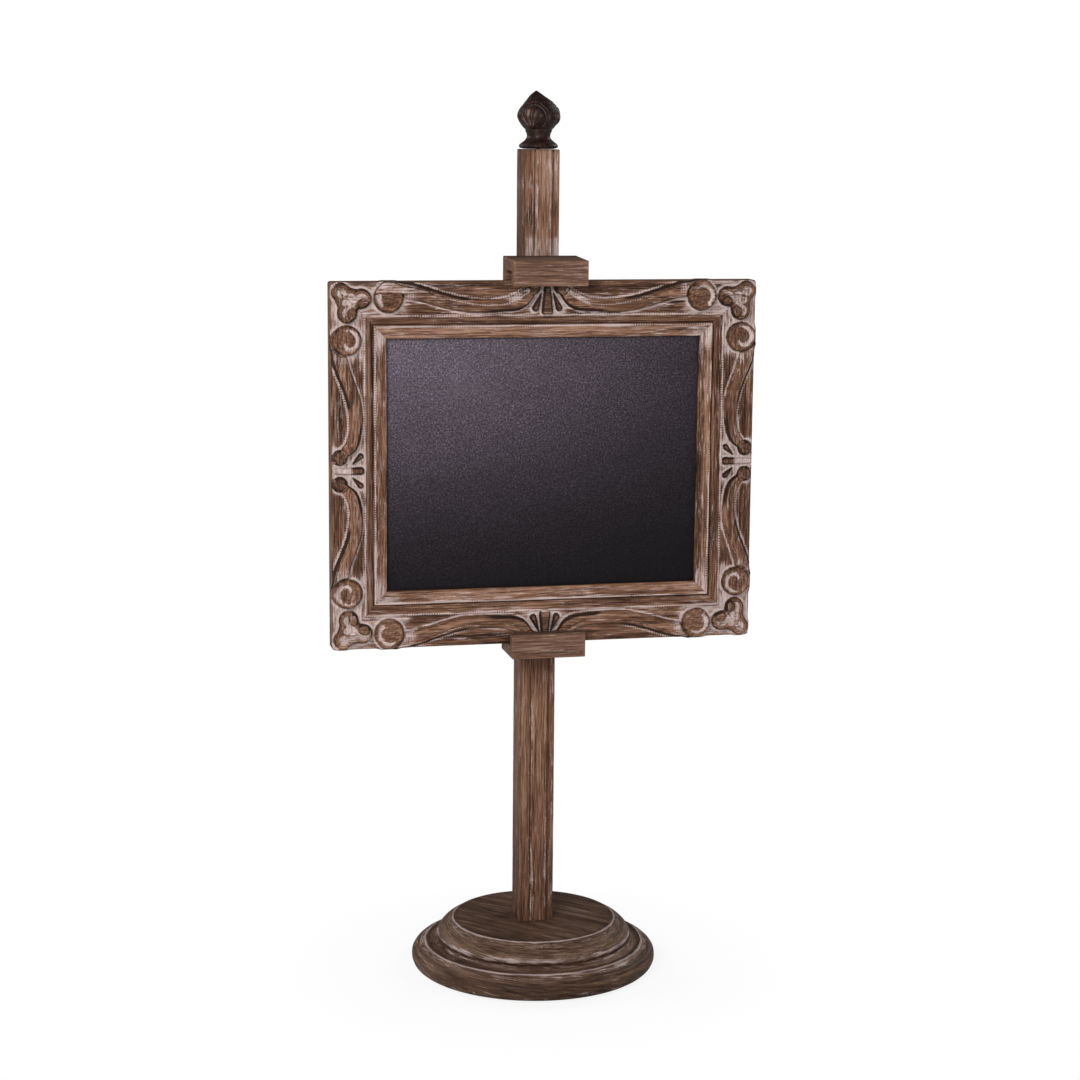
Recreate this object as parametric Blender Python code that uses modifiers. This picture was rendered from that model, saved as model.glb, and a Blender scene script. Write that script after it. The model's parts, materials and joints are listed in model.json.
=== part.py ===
"""Menu chalkboard easel: turned base, square post, two slotted clips and a carved framed board.

Metres, +Z up, the front faces -Y. The origin is on the floor at the centre of the base.
"""
import math

import bmesh
import bpy
from mathutils import Matrix, Vector

# Clearance left between two pieces that touch in the real object.
GAP = 0.0003

# Base: two turned discs, one on the other, standing on felt pads.
PAD_RADIUS = 0.009
PAD_HEIGHT = 0.0015
PAD_RING_RADIUS = 0.106
BASE_UNDERSIDE_Z = PAD_HEIGHT + GAP
BASE_SPLIT_Z = 0.0330
BASE_TOP_Z = 0.0554
BASE_STEPS = 40
BASE_CENTRE_X = 0.0013
MORTISE_DEPTH = 0.0060
BASE_SCREW_RING_RADIUS = 0.066
BASE_SCREW_LENGTH = 0.046
BOLT_POCKET_RADIUS = 0.0130
BOLT_POCKET_TOP_Z = 0.0130
BOLT_SHANK_RADIUS = 0.0040
BOLT_HEAD_RADIUS = 0.0070
BOLT_TIP_Z = 0.1100
WASHER_RADIUS = 0.0120
WASHER_THICKNESS = 0.0015

# Post: square, with two upright flutes on each face.
POST_HALF = 0.0190
POST_TOP_Z = 0.8955
FLUTES = ((-0.0070, 0.0008, 0.0010), (0.0115, 0.0013, 0.0015))

# Finial.
FINIAL_STEPS = 24
STUD_RADIUS = 0.0025
STUD_BOTTOM_Z = 0.8800
STUD_TOP_Z = 0.9120

# Clips: blocks with a slot along X, on the front of the post.
CLIP_HALF_WIDTH = 0.0397
UPPER_CLIP_X = -0.0019
LOWER_CLIP_X = -0.0010
CLIP_BACK_Y = -POST_HALF - GAP
CLIP_FRONT_Y = -0.0750
SLOT_BACK_Y = -0.0310
SLOT_FRONT_Y = -0.0630
CLIP_BEVEL = 0.0007
LOWER_CLIP_Z = (0.3635, 0.3757, 0.3905)
UPPER_CLIP_BOTTOM_Z = 0.7562
UPPER_SLOT_Z = 0.7710
UPPER_CLIP_TOP_BACK_Z = 0.7851
UPPER_CLIP_TOP_FRONT_Z = 0.7826
CLIP_SCREW_X = 0.0110

# Yoke that carries the upper clip round the post, and its clamp.
CHEEK_THICKNESS = 0.0080
CHEEK_INNER_X = POST_HALF + 0.0006
YOKE_Z = (0.7580, 0.7780)
CHEEK_REAR_Y = 0.0240
BAR_REAR_Y = 0.0335
CLAMP_Z = 0.7680
CLAMP_SCREW_RADIUS = 0.0030
CLAMP_RUN_CLEARANCE = 0.00008
INSERT_RADIUS = 0.0050
SHOE_RADIUS = 0.0070
SHOE_Y = (POST_HALF + GAP, POST_HALF + GAP + 0.0030)
KNOB_Y = (0.0355, 0.0475)
KNOB_RADIUS = 0.0110

# Picture frame: four mitred rails.
FRAME_HALF_WIDTH = 0.2277
FRAME_CENTRE_X = -0.0012
FRAME_BOTTOM_Z = LOWER_CLIP_Z[1] + GAP
FRAME_HEIGHT = 0.3845
FRAME_BACK_Y = -0.0325
RAIL_WIDTH = 0.0594
RABBET_WIDTH = 0.0100
LIP_BACK_H = 0.0078
BACKGROUND_H = 0.0200
RELIEF_H = 0.0270
RAIL_PROFILE = (
    (0.0, 0.0), (0.0, 0.0195), (0.0010, 0.0205), (0.0330, BACKGROUND_H), (0.0340, 0.0213),
    (0.0360, 0.0213), (0.0390, 0.0180), (0.0435, 0.0140), (0.0450, 0.0120), (0.0460, 0.0160),
    (0.0480, 0.0163), (0.0540, 0.0145), (0.0587, 0.0126), (RAIL_WIDTH, 0.0118),
    (RAIL_WIDTH, LIP_BACK_H), (RAIL_WIDTH - RABBET_WIDTH, LIP_BACK_H), (RAIL_WIDTH - RABBET_WIDTH, 0.0),
)

# Carving on each rail, as distance from the corner along the rail and depth from its outer edge.
VOLUTE_AT = (0.0600, 0.0166)
VOLUTE_RADIUS = 0.0158
LOBE_RADIUS = 0.0090
CORNER_LOBES = ((0.0102, 0.0102), (0.0320, 0.0150))
BEAD_OFFSET = 0.0138
BEAD_DEPTH = 0.0086
BEAD_RADIUS = 0.0077
STEM_RADIUS = 0.0072
STEM_START = 0.0810
STEM_END_OFFSET = 0.0210
STEM_DEPTHS = (0.0092, 0.0118, 0.0159, 0.0200, 0.0233, 0.0254, 0.0258, 0.0250, 0.0224, 0.0172)
PALMETTE_SPREAD = 0.0100
PALMETTE_DEPTHS = (0.0175, 0.0320)
PALMETTE_RADII = (0.0024, 0.0036)

# Chalkboard panel (nominal 14 by 11 inches), its backing and what holds them in.
PANEL_SIZE = (0.3556, 0.2794)
PANEL_Y = (-0.0400, -0.0370)
BACKING_Y = (-0.0367, -0.0327)
SPLINE_SIZE = (0.0300, 0.0016, 0.0080)
SPLINE_AT = 0.0250
SPLINE_SINK = 0.0005
BUTTON_X = 0.1000
BUTTON_DEPTH = 0.0420
BUTTON_HALF_WIDTH = 0.0045
BUTTON_REACH = 0.0160
BUTTON_TAIL = 0.0070
BUTTON_THICKNESS = 0.0015
BUTTON_HOLE_RADIUS = 0.0018
PIVOT_SHANK_RADIUS = 0.00175
PIVOT_HEAD_RADIUS = 0.0034
PIVOT_LENGTH = 0.0110

# Countersunk wood screw: head radius, shank radius, depth of the cone.
SCREW_HEAD_RADIUS = 0.0036
SCREW_SHANK_RADIUS = 0.0018
SCREW_CONE = 0.0022
SCREW_STEPS = 12

PALETTE = {
    "base_wood": ((0.130, 0.078, 0.052), 0.62, 0.0),
    "post_wood": ((0.190, 0.120, 0.085), 0.62, 0.0),
    "frame_wood": ((0.210, 0.130, 0.090), 0.60, 0.0),
    "clip_wood": ((0.200, 0.130, 0.095), 0.62, 0.0),
    "finial_bronze": ((0.050, 0.032, 0.026), 0.42, 0.3),
    "panel_black": ((0.012, 0.011, 0.014), 0.55, 0.0),
    "backing_board": ((0.260, 0.170, 0.100), 0.75, 0.0),
    "felt": ((0.060, 0.060, 0.060), 0.95, 0.0),
    "steel": ((0.420, 0.420, 0.430), 0.35, 1.0),
    "brass": ((0.650, 0.480, 0.200), 0.35, 1.0),
    "knob_black": ((0.030, 0.030, 0.030), 0.45, 0.0),
}


def clear_scene():
    for thing in list(bpy.data.objects):
        bpy.data.objects.remove(thing, do_unlink=True)


def make_collection(name):
    group = bpy.data.collections.new(name)
    bpy.context.scene.collection.children.link(group)
    return group


clear_scene()
PARTS = make_collection("menu_chalkboard_easel")
CUTTERS = make_collection("cutters")
CUTTERS.hide_render = True


def make_material(object_name, look):
    colour, roughness, metallic = PALETTE[look]
    material = bpy.data.materials.new(object_name)
    material.use_nodes = True
    shader = material.node_tree.nodes["Principled BSDF"]
    shader.inputs["Base Color"].default_value = (*colour, 1.0)
    shader.inputs["Roughness"].default_value = roughness
    shader.inputs["Metallic"].default_value = metallic
    return material


def add_part(name, mesh, look, location=(0.0, 0.0, 0.0)):
    """Link a mesh as a named piece with its own material."""
    part = bpy.data.objects.new(name, mesh)
    mesh.materials.clear()
    mesh.materials.append(make_material(name, look))
    part.location = location
    PARTS.objects.link(part)
    return part


def add_cutter(name, mesh, location=(0.0, 0.0, 0.0)):
    cutter = bpy.data.objects.new(name, mesh)
    cutter.location = location
    cutter.hide_render = True
    cutter.display_type = "WIRE"
    CUTTERS.objects.link(cutter)
    return cutter


def boolean(part, other, operation="DIFFERENCE"):
    modifier = part.modifiers.new(other.name, "BOOLEAN")
    modifier.object = other
    modifier.operation = operation
    modifier.solver = "EXACT"


def bevel(part, width, segments=1):
    modifier = part.modifiers.new("edge", "BEVEL")
    modifier.width = width
    modifier.segments = segments
    modifier.limit_method = "ANGLE"


def profile_mesh(name, profile):
    """Edges of a turning profile in the XZ plane, listed from the top down."""
    mesh = bpy.data.meshes.new(name)
    points = [(radius, 0.0, height) for radius, height in profile]
    edges = [(index, index + 1) for index in range(len(points) - 1)]
    mesh.from_pydata(points, edges, [])
    return mesh


def spin(thing, steps):
    """Turn a profile through a full circle about the object's Z axis."""
    modifier = thing.modifiers.new("turn", "SCREW")
    modifier.angle = 2.0 * math.pi
    modifier.steps = steps
    modifier.render_steps = steps
    modifier.axis = "Z"
    modifier.use_merge_vertices = True
    modifier.merge_threshold = 0.00001
    modifier.use_smooth_shade = True


def turned(name, profile, look, steps, location=(0.0, 0.0, 0.0)):
    part = add_part(name, profile_mesh(name, profile), look, location)
    spin(part, steps)
    return part


def turned_cutter(name, profile, steps, location=(0.0, 0.0, 0.0)):
    cutter = add_cutter(name, profile_mesh(name, profile), location)
    spin(cutter, steps)
    return cutter


def box_mesh(name, low, high):
    """A box between two opposite corners."""
    mesh = bpy.data.meshes.new(name)
    shape = bmesh.new()
    bmesh.ops.create_cube(shape, size=1.0)
    size = Vector(high) - Vector(low)
    middle = (Vector(high) + Vector(low)) / 2.0
    bmesh.ops.scale(shape, vec=size, verts=shape.verts)
    bmesh.ops.translate(shape, vec=middle, verts=shape.verts)
    shape.to_mesh(mesh)
    shape.free()
    return mesh


def prism_mesh(name, outline, along):
    """Extrude a closed flat outline of 3-D points along a vector."""
    mesh = bpy.data.meshes.new(name)
    shape = bmesh.new()
    face = shape.faces.new([shape.verts.new(point) for point in outline])
    swept = bmesh.ops.extrude_face_region(shape, geom=[face])
    moved = [item for item in swept["geom"] if isinstance(item, bmesh.types.BMVert)]
    bmesh.ops.translate(shape, vec=along, verts=moved)
    bmesh.ops.recalc_face_normals(shape, faces=shape.faces)
    shape.to_mesh(mesh)
    shape.free()
    return mesh


def aim(thing, position, direction):
    """Put a turned piece's top at a position, with the piece running along a direction."""
    turn = (-Vector(direction)).to_track_quat("Z", "Y")
    thing.rotation_euler = turn.to_euler()
    thing.location = position


def wood_screw(name, position, direction, length, hosts):
    """Countersunk screw, and the hole it sits in through each host."""
    profile = (
        (0.0, 0.0), (SCREW_HEAD_RADIUS, 0.0), (SCREW_SHANK_RADIUS, -SCREW_CONE),
        (SCREW_SHANK_RADIUS, -length + SCREW_CONE), (0.0, -length),
    )
    hole = (
        (0.0, 0.0030), (SCREW_HEAD_RADIUS + 2.0 * GAP, 0.0030), (SCREW_HEAD_RADIUS + 2.0 * GAP, 0.0),
        (SCREW_SHANK_RADIUS + GAP, -SCREW_CONE - GAP), (SCREW_SHANK_RADIUS + GAP, -length - GAP),
        (0.0, -length - GAP),
    )
    screw = turned(name, profile, "steel", SCREW_STEPS)
    aim(screw, position, direction)
    cutter = turned_cutter(name + "_hole", hole, SCREW_STEPS)
    aim(cutter, position, direction)
    for host in hosts:
        boolean(host, cutter)
    return screw


def make_base():
    upper_profile = (
        (0.0, BASE_TOP_Z), (0.0905, BASE_TOP_Z), (0.0935, 0.0546), (0.0970, 0.0522), (0.1000, 0.0497),
        (0.1035, 0.0463), (0.1063, 0.0430), (0.1076, 0.0400), (0.1070, 0.0370), (0.1050, 0.0350),
        (0.1040, BASE_SPLIT_Z + GAP), (0.0, BASE_SPLIT_Z + GAP),
    )
    lower_profile = (
        (0.0, BASE_SPLIT_Z), (0.1045, BASE_SPLIT_Z), (0.1060, 0.0315), (0.1100, 0.0298), (0.1188, 0.0289),
        (0.1205, 0.0273), (0.1240, 0.0262), (0.1290, 0.0240), (0.1325, 0.0210), (0.1343, 0.0175),
        (0.1348, 0.0140), (0.1345, 0.0100), (0.1328, 0.0058), (0.1295, 0.0030),
        (0.1245, BASE_UNDERSIDE_Z), (0.0, BASE_UNDERSIDE_Z),
    )
    centre = Vector((BASE_CENTRE_X, 0.0, 0.0))
    upper = turned("base_upper_disc", upper_profile, "base_wood", BASE_STEPS, centre)
    lower = turned("base_lower_disc", lower_profile, "base_wood", BASE_STEPS, centre)

    reach = POST_HALF + GAP
    floor = BASE_TOP_Z - MORTISE_DEPTH
    mortise = box_mesh("mortise", (-reach, -reach, floor), (reach, reach, BASE_TOP_Z + 0.005))
    boolean(upper, add_cutter("mortise", mortise))

    head_top = BOLT_POCKET_TOP_Z - GAP - WASHER_THICKNESS - GAP
    head_bottom = head_top - 0.0055
    bolt_profile = (
        (0.0, BOLT_TIP_Z), (BOLT_SHANK_RADIUS - 0.0015, BOLT_TIP_Z), (BOLT_SHANK_RADIUS, BOLT_TIP_Z - 0.004),
        (BOLT_SHANK_RADIUS, head_top), (BOLT_HEAD_RADIUS, head_top), (BOLT_HEAD_RADIUS, head_bottom),
        (0.0, head_bottom),
    )
    turned("base_bolt", bolt_profile, "steel", 12)
    hole_radius = BOLT_SHANK_RADIUS + GAP
    hole_profile = (
        (0.0, BOLT_TIP_Z + GAP), (hole_radius, BOLT_TIP_Z + GAP), (hole_radius, BOLT_POCKET_TOP_Z),
        (BOLT_POCKET_RADIUS, BOLT_POCKET_TOP_Z), (BOLT_POCKET_RADIUS, -0.005), (0.0, -0.005),
    )
    bolt_hole = turned_cutter("bolt_hole", hole_profile, 24)
    boolean(upper, bolt_hole)
    boolean(lower, bolt_hole)

    washer_top = BOLT_POCKET_TOP_Z - GAP
    washer_bottom = washer_top - WASHER_THICKNESS
    washer_profile = (
        (hole_radius, washer_top), (WASHER_RADIUS, washer_top), (WASHER_RADIUS, washer_bottom),
        (hole_radius, washer_bottom), (hole_radius, washer_top),
    )
    turned("base_washer", washer_profile, "steel", 24)

    for index in range(4):
        angle = math.radians(45.0 + 90.0 * index)
        out = Vector((math.cos(angle), math.sin(angle), 0.0))
        start = centre + out * BASE_SCREW_RING_RADIUS + Vector((0.0, 0.0, BASE_UNDERSIDE_Z + 0.0008))
        wood_screw(f"base_screw_{index + 1}", start, (0, 0, 1), BASE_SCREW_LENGTH, (lower, upper))
        pad_profile = ((0.0, PAD_HEIGHT), (PAD_RADIUS, PAD_HEIGHT), (PAD_RADIUS, 0.0), (0.0, 0.0))
        turned(f"foot_pad_{index + 1}", pad_profile, "felt", 20, centre + out * PAD_RING_RADIUS)
    return bolt_hole


def post_outline():
    """Square outline with the two flutes of each face, at the foot of the post."""
    face = [Vector((-POST_HALF, -POST_HALF))]
    for middle, half, depth in FLUTES:
        face += [
            Vector((middle - half, -POST_HALF)), Vector((middle - half * 0.5, -POST_HALF + depth)),
            Vector((middle + half * 0.5, -POST_HALF + depth)), Vector((middle + half, -POST_HALF)),
        ]
    outline = []
    for quarter in range(4):
        turn = Matrix.Rotation(math.radians(90.0 * quarter), 2)
        outline += [turn @ point for point in face]
    foot = BASE_TOP_Z - MORTISE_DEPTH + GAP
    return [(point.x, point.y, foot) for point in outline]


def make_post(bolt_hole):
    foot = BASE_TOP_Z - MORTISE_DEPTH + GAP
    mesh = prism_mesh("post", post_outline(), (0.0, 0.0, POST_TOP_Z - foot))
    post = add_part("post", mesh, "post_wood")
    boolean(post, bolt_hole)
    return post


def make_finial(post):
    profile = (
        (0.0, 0.9560), (0.0022, 0.9548), (0.0060, 0.9515), (0.0125, 0.9475), (0.0190, 0.9420),
        (0.0228, 0.9355), (0.0240, 0.9285), (0.0226, 0.9232), (0.0180, 0.9192), (0.0158, 0.9178),
        (0.0160, 0.9150), (0.0140, 0.9130), (0.0126, 0.9100), (0.0140, 0.9055), (0.0180, 0.9020),
        (0.0206, 0.9008), (0.0212, 0.8992), (0.0200, 0.8976), (0.0178, POST_TOP_Z + GAP),
        (0.0, POST_TOP_Z + GAP),
    )
    finial = turned("finial", profile, "finial_bronze", FINIAL_STEPS)
    stud_profile = (
        (0.0, STUD_TOP_Z), (STUD_RADIUS, STUD_TOP_Z), (STUD_RADIUS, STUD_BOTTOM_Z), (0.0, STUD_BOTTOM_Z),
    )
    turned("finial_stud", stud_profile, "steel", 12)
    radius = STUD_RADIUS + GAP
    top, bottom = STUD_TOP_Z + GAP, STUD_BOTTOM_Z - GAP
    hole_profile = ((0.0, top), (radius, top), (radius, bottom), (0.0, bottom))
    hole = turned_cutter("stud_hole", hole_profile, 12)
    boolean(finial, hole)
    boolean(post, hole)


def clip(name, outline, centre_x):
    """Slotted block from its outline of (y, z) points."""
    points = [(-CLIP_HALF_WIDTH, y, z) for y, z in outline]
    mesh = prism_mesh(name, points, (2.0 * CLIP_HALF_WIDTH, 0.0, 0.0))
    part = add_part(name, mesh, "clip_wood", (centre_x, 0.0, 0.0))
    bevel(part, CLIP_BEVEL)
    return part


def make_lower_clip(post):
    bottom, floor, top = LOWER_CLIP_Z
    outline = (
        (CLIP_BACK_Y, bottom), (CLIP_BACK_Y, top), (SLOT_BACK_Y, top), (SLOT_BACK_Y, floor),
        (SLOT_FRONT_Y, floor), (SLOT_FRONT_Y, top), (CLIP_FRONT_Y, top), (CLIP_FRONT_Y, bottom),
    )
    part = clip("lower_clip", outline, LOWER_CLIP_X)
    for index, x in enumerate((-CLIP_SCREW_X, CLIP_SCREW_X)):
        start = (x, SLOT_BACK_Y + 0.0006, (floor + top) / 2.0 + 0.0005)
        wood_screw(f"lower_clip_screw_{index + 1}", start, (0, 1, 0), 0.0280, (part, post))


def make_upper_clip():
    outline = (
        (CLIP_BACK_Y, UPPER_CLIP_BOTTOM_Z), (CLIP_BACK_Y, UPPER_CLIP_TOP_BACK_Z),
        (CLIP_FRONT_Y, UPPER_CLIP_TOP_FRONT_Z), (CLIP_FRONT_Y, UPPER_CLIP_BOTTOM_Z),
        (SLOT_FRONT_Y, UPPER_CLIP_BOTTOM_Z), (SLOT_FRONT_Y, UPPER_SLOT_Z),
        (SLOT_BACK_Y, UPPER_SLOT_Z), (SLOT_BACK_Y, UPPER_CLIP_BOTTOM_Z),
    )
    part = clip("upper_clip", outline, UPPER_CLIP_X)
    pieces = [part]
    low_z, high_z = YOKE_Z
    outer = CHEEK_INNER_X + CHEEK_THICKNESS
    bar_mesh = box_mesh("yoke_bar", (-outer, CHEEK_REAR_Y + GAP, low_z), (outer, BAR_REAR_Y, high_z))
    bar = add_part("yoke_bar", bar_mesh, "clip_wood")
    bevel(bar, CLIP_BEVEL)
    pieces.append(bar)
    for side, label in ((-1, "left"), (1, "right")):
        edges = sorted((side * CHEEK_INNER_X, side * outer))
        low = (edges[0], CLIP_BACK_Y + GAP, low_z)
        high = (edges[1], CHEEK_REAR_Y, high_z)
        cheek = add_part(f"yoke_cheek_{label}", box_mesh(f"yoke_cheek_{label}", low, high), "clip_wood")
        x = side * (CHEEK_INNER_X + CHEEK_THICKNESS / 2.0)
        front_start = (x, SLOT_BACK_Y + 0.0006, UPPER_CLIP_BOTTOM_Z + 0.0080)
        front = wood_screw(f"yoke_front_screw_{label}", front_start, (0, 1, 0), 0.0280, (part, cheek))
        rear_start = (x, BAR_REAR_Y - 0.0006, CLAMP_Z)
        rear = wood_screw(f"yoke_rear_screw_{label}", rear_start, (0, -1, 0), 0.0250, (bar, cheek))
        pieces += [cheek, front, rear]
    pieces.append(make_insert(bar))
    group("top_clamp_slide", (0.0, 0.0, CLAMP_Z), pieces)


def make_insert(bar):
    """Threaded brass sleeve pressed into the bar."""
    front, rear = CHEEK_REAR_Y + GAP, BAR_REAR_Y
    bore = CLAMP_SCREW_RADIUS + CLAMP_RUN_CLEARANCE
    length = rear - front
    profile = (
        (bore, 0.0), (INSERT_RADIUS, 0.0), (INSERT_RADIUS, -length), (bore, -length), (bore, 0.0),
    )
    insert = turned("threaded_insert", profile, "brass", 20)
    aim(insert, (0.0, rear, CLAMP_Z), (0, -1, 0))
    radius = INSERT_RADIUS + GAP
    hole_profile = ((0.0, 0.005), (radius, 0.005), (radius, -0.020), (0.0, -0.020))
    hole = turned_cutter("insert_hole", hole_profile, 20)
    aim(hole, (0.0, rear, CLAMP_Z), (0, -1, 0))
    boolean(bar, hole)
    return insert


def make_clamp():
    """Shoe that presses on the post, and the screw and knob that drive it."""
    shoe_front, shoe_rear = SHOE_Y
    depth = shoe_rear - shoe_front
    socket = 0.0016
    shoe_profile = (
        (0.0, -socket), (0.0024, -socket), (0.0024, 0.0), (SHOE_RADIUS - 0.0008, 0.0),
        (SHOE_RADIUS, -0.0008), (SHOE_RADIUS, -depth), (0.0, -depth),
    )
    shoe = turned("clamp_shoe", shoe_profile, "brass", 20)
    aim(shoe, (0.0, shoe_rear, CLAMP_Z), (0, -1, 0))
    group("clamp_shoe_slide", (0.0, shoe_rear, CLAMP_Z), [shoe])

    knob_front, knob_rear = KNOB_Y
    screw_rear = knob_rear - 0.0040
    length = screw_rear - shoe_rear - GAP
    tip = 0.0013
    screw_profile = (
        (0.0, 0.0), (CLAMP_SCREW_RADIUS, 0.0), (CLAMP_SCREW_RADIUS, -length),
        (0.0020, -length), (0.0020, -length - tip), (0.0, -length - tip),
    )
    screw = turned("clamp_screw", screw_profile, "steel", 20)
    aim(screw, (0.0, screw_rear, CLAMP_Z), (0, -1, 0))

    outline = []
    scallops = 6
    points = 36
    for index in range(points):
        angle = 2.0 * math.pi * index / points
        radius = KNOB_RADIUS - 0.0011 * (1.0 - math.cos(scallops * angle)) / 2.0
        outline.append((radius * math.cos(angle), knob_front, CLAMP_Z + radius * math.sin(angle)))
    knob_mesh = prism_mesh("clamp_knob", outline, (0.0, knob_rear - knob_front, 0.0))
    knob = add_part("clamp_knob", knob_mesh, "knob_black")
    bevel(knob, 0.0012, 2)
    radius = CLAMP_SCREW_RADIUS + GAP
    hole_profile = ((0.0, GAP), (radius, GAP), (radius, -0.0200), (0.0, -0.0200))
    hole = turned_cutter("knob_hole", hole_profile, 20)
    aim(hole, (0.0, screw_rear, CLAMP_Z), (0, -1, 0))
    boolean(knob, hole)
    group("clamp_knob_turn", (0.0, knob_front, CLAMP_Z), [screw, knob])


def group(name, position, pieces):
    """Parent a moving body's pieces to an empty on its joint axis."""
    empty = bpy.data.objects.new(name, None)
    empty.location = position
    empty.empty_display_size = 0.02
    PARTS.objects.link(empty)
    for piece in pieces:
        piece.parent = empty
        piece.location = Vector(piece.location) - Vector(position)


def merge(shape, mesh):
    """Add a mesh's faces to a bmesh and free the mesh."""
    shape.from_mesh(mesh)
    bpy.data.meshes.remove(mesh)


def tube_mesh(points, radii):
    """Round bar through points, as a mesh with closed ends."""
    curve = bpy.data.curves.new("bar", "CURVE")
    curve.dimensions = "3D"
    curve.bevel_depth = 1.0
    curve.bevel_resolution = 1
    curve.use_fill_caps = True
    line = curve.splines.new("POLY")
    line.points.add(len(points) - 1)
    for knot, point, radius in zip(line.points, points, radii):
        knot.co = (*point, 1.0)
        knot.radius = radius
    holder = bpy.data.objects.new("bar", curve)
    mesh = bpy.data.meshes.new_from_object(holder)
    bpy.data.objects.remove(holder)
    bpy.data.curves.remove(curve)
    shape = bmesh.new()
    merge(shape, mesh)
    bmesh.ops.remove_doubles(shape, verts=shape.verts, dist=0.00001)
    bmesh.ops.recalc_face_normals(shape, faces=shape.faces)
    welded = bpy.data.meshes.new("bar")
    shape.to_mesh(welded)
    shape.free()
    return welded


def add_ball(shape, centre, radius, height, segments, rings):
    """Ball squashed along the rail's front direction."""
    place = Matrix.Translation(centre) @ Matrix.Diagonal((1.0, height / radius, 1.0, 1.0))
    turn = Matrix.Rotation(math.radians(90.0), 4, "X")
    bmesh.ops.create_uvsphere(
        shape, u_segments=segments, v_segments=rings, radius=radius, matrix=place @ turn
    )


def carving_mesh(name, length):
    """Relief of one rail: corner lobes, volutes, stems, beads and a palmette in the middle."""
    shape = bmesh.new()
    half = length / 2.0
    ground = BACKGROUND_H - 0.0005
    rise = RELIEF_H - ground
    for side in (-1.0, 1.0):
        for along, depth in CORNER_LOBES:
            centre = (side * (half - along), -ground, -depth)
            add_ball(shape, centre, LOBE_RADIUS, rise - 0.0005, 12, 6)
        centre = (side * (half - VOLUTE_AT[0]), -ground, -VOLUTE_AT[1])
        add_ball(shape, centre, VOLUTE_RADIUS, rise, 16, 6)
        centre = (side * BEAD_OFFSET, -ground, -BEAD_DEPTH)
        add_ball(shape, centre, BEAD_RADIUS, rise, 12, 6)

        start, end = half - STEM_START, STEM_END_OFFSET
        count = len(STEM_DEPTHS)
        path = []
        for index, depth in enumerate(STEM_DEPTHS):
            along = start + (end - start) * index / (count - 1)
            path.append((side * along, -ground, -depth))
        radii = [STEM_RADIUS] * count
        radii[0] = radii[-1] = STEM_RADIUS * 0.85
        merge(shape, tube_mesh(path, radii))
    low, high = PALMETTE_DEPTHS
    for lean in (-1.0, 0.0, 1.0):
        first = (lean * PALMETTE_SPREAD * 0.45, -ground, -low - 0.0035)
        last = (lean * PALMETTE_SPREAD, -ground, -high + abs(lean) * 0.0030)
        merge(shape, tube_mesh([first, last], PALMETTE_RADII))
    mesh = bpy.data.meshes.new(name)
    shape.to_mesh(mesh)
    shape.free()
    return mesh


def rail(name, length, centre, angle):
    """One mitred rail: moulding, carving, mitred ends. Local Z points out, local -Y to the front."""
    half = length / 2.0
    outline = [(-half, -height, -depth) for depth, height in RAIL_PROFILE]
    part = add_part(name, prism_mesh(name, outline, (length, 0.0, 0.0)), "frame_wood")
    turn = Matrix.Rotation(math.radians(angle), 4, "Y")
    place = Matrix.Translation(centre) @ turn

    carving = add_cutter(name + "_carving", carving_mesh(name + "_carving", length))
    inset = GAP / 2.0 * math.sqrt(2.0)
    reach = 0.0700
    front = 0.0400
    wedge_outline = [
        (-half + inset - 0.0100, -front, 0.0100), (half - inset + 0.0100, -front, 0.0100),
        (half - inset - reach, -front, -reach), (-half + inset + reach, -front, -reach),
    ]
    wedge_mesh = prism_mesh(name + "_mitre", wedge_outline, (0.0, front + 0.0100, 0.0))
    wedge = add_cutter(name + "_mitre", wedge_mesh)
    for thing in (part, carving, wedge):
        thing.matrix_world = place
    boolean(part, carving, "UNION")
    boolean(part, wedge, "INTERSECT")
    return part


def make_frame():
    top_z = FRAME_BOTTOM_Z + FRAME_HEIGHT
    middle_z = FRAME_BOTTOM_Z + FRAME_HEIGHT / 2.0
    width = 2.0 * FRAME_HALF_WIDTH
    left_x = FRAME_CENTRE_X - FRAME_HALF_WIDTH
    right_x = FRAME_CENTRE_X + FRAME_HALF_WIDTH
    rails = {
        "top": rail("frame_rail_top", width, (FRAME_CENTRE_X, FRAME_BACK_Y, top_z), 0.0),
        "right": rail("frame_rail_right", FRAME_HEIGHT, (right_x, FRAME_BACK_Y, middle_z), 90.0),
        "bottom": rail("frame_rail_bottom", width, (FRAME_CENTRE_X, FRAME_BACK_Y, FRAME_BOTTOM_Z), 180.0),
        "left": rail("frame_rail_left", FRAME_HEIGHT, (left_x, FRAME_BACK_Y, middle_z), -90.0),
    }
    pieces = list(rails.values())

    ledge_z = FRAME_BOTTOM_Z + RAIL_WIDTH - RABBET_WIDTH + GAP
    for name, depths, look in (
        ("chalkboard_panel", PANEL_Y, "panel_black"),
        ("backing_board", BACKING_Y, "backing_board"),
    ):
        low = (FRAME_CENTRE_X - PANEL_SIZE[0] / 2.0, depths[0], ledge_z)
        high = (FRAME_CENTRE_X + PANEL_SIZE[0] / 2.0, depths[1], ledge_z + PANEL_SIZE[1])
        pieces.append(add_part(name, box_mesh(name, low, high), look))

    pieces += make_splines(rails)
    pieces += make_buttons(rails)
    group("framed_board_slide", (0.0, FRAME_BACK_Y, FRAME_BOTTOM_Z), pieces)


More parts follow.
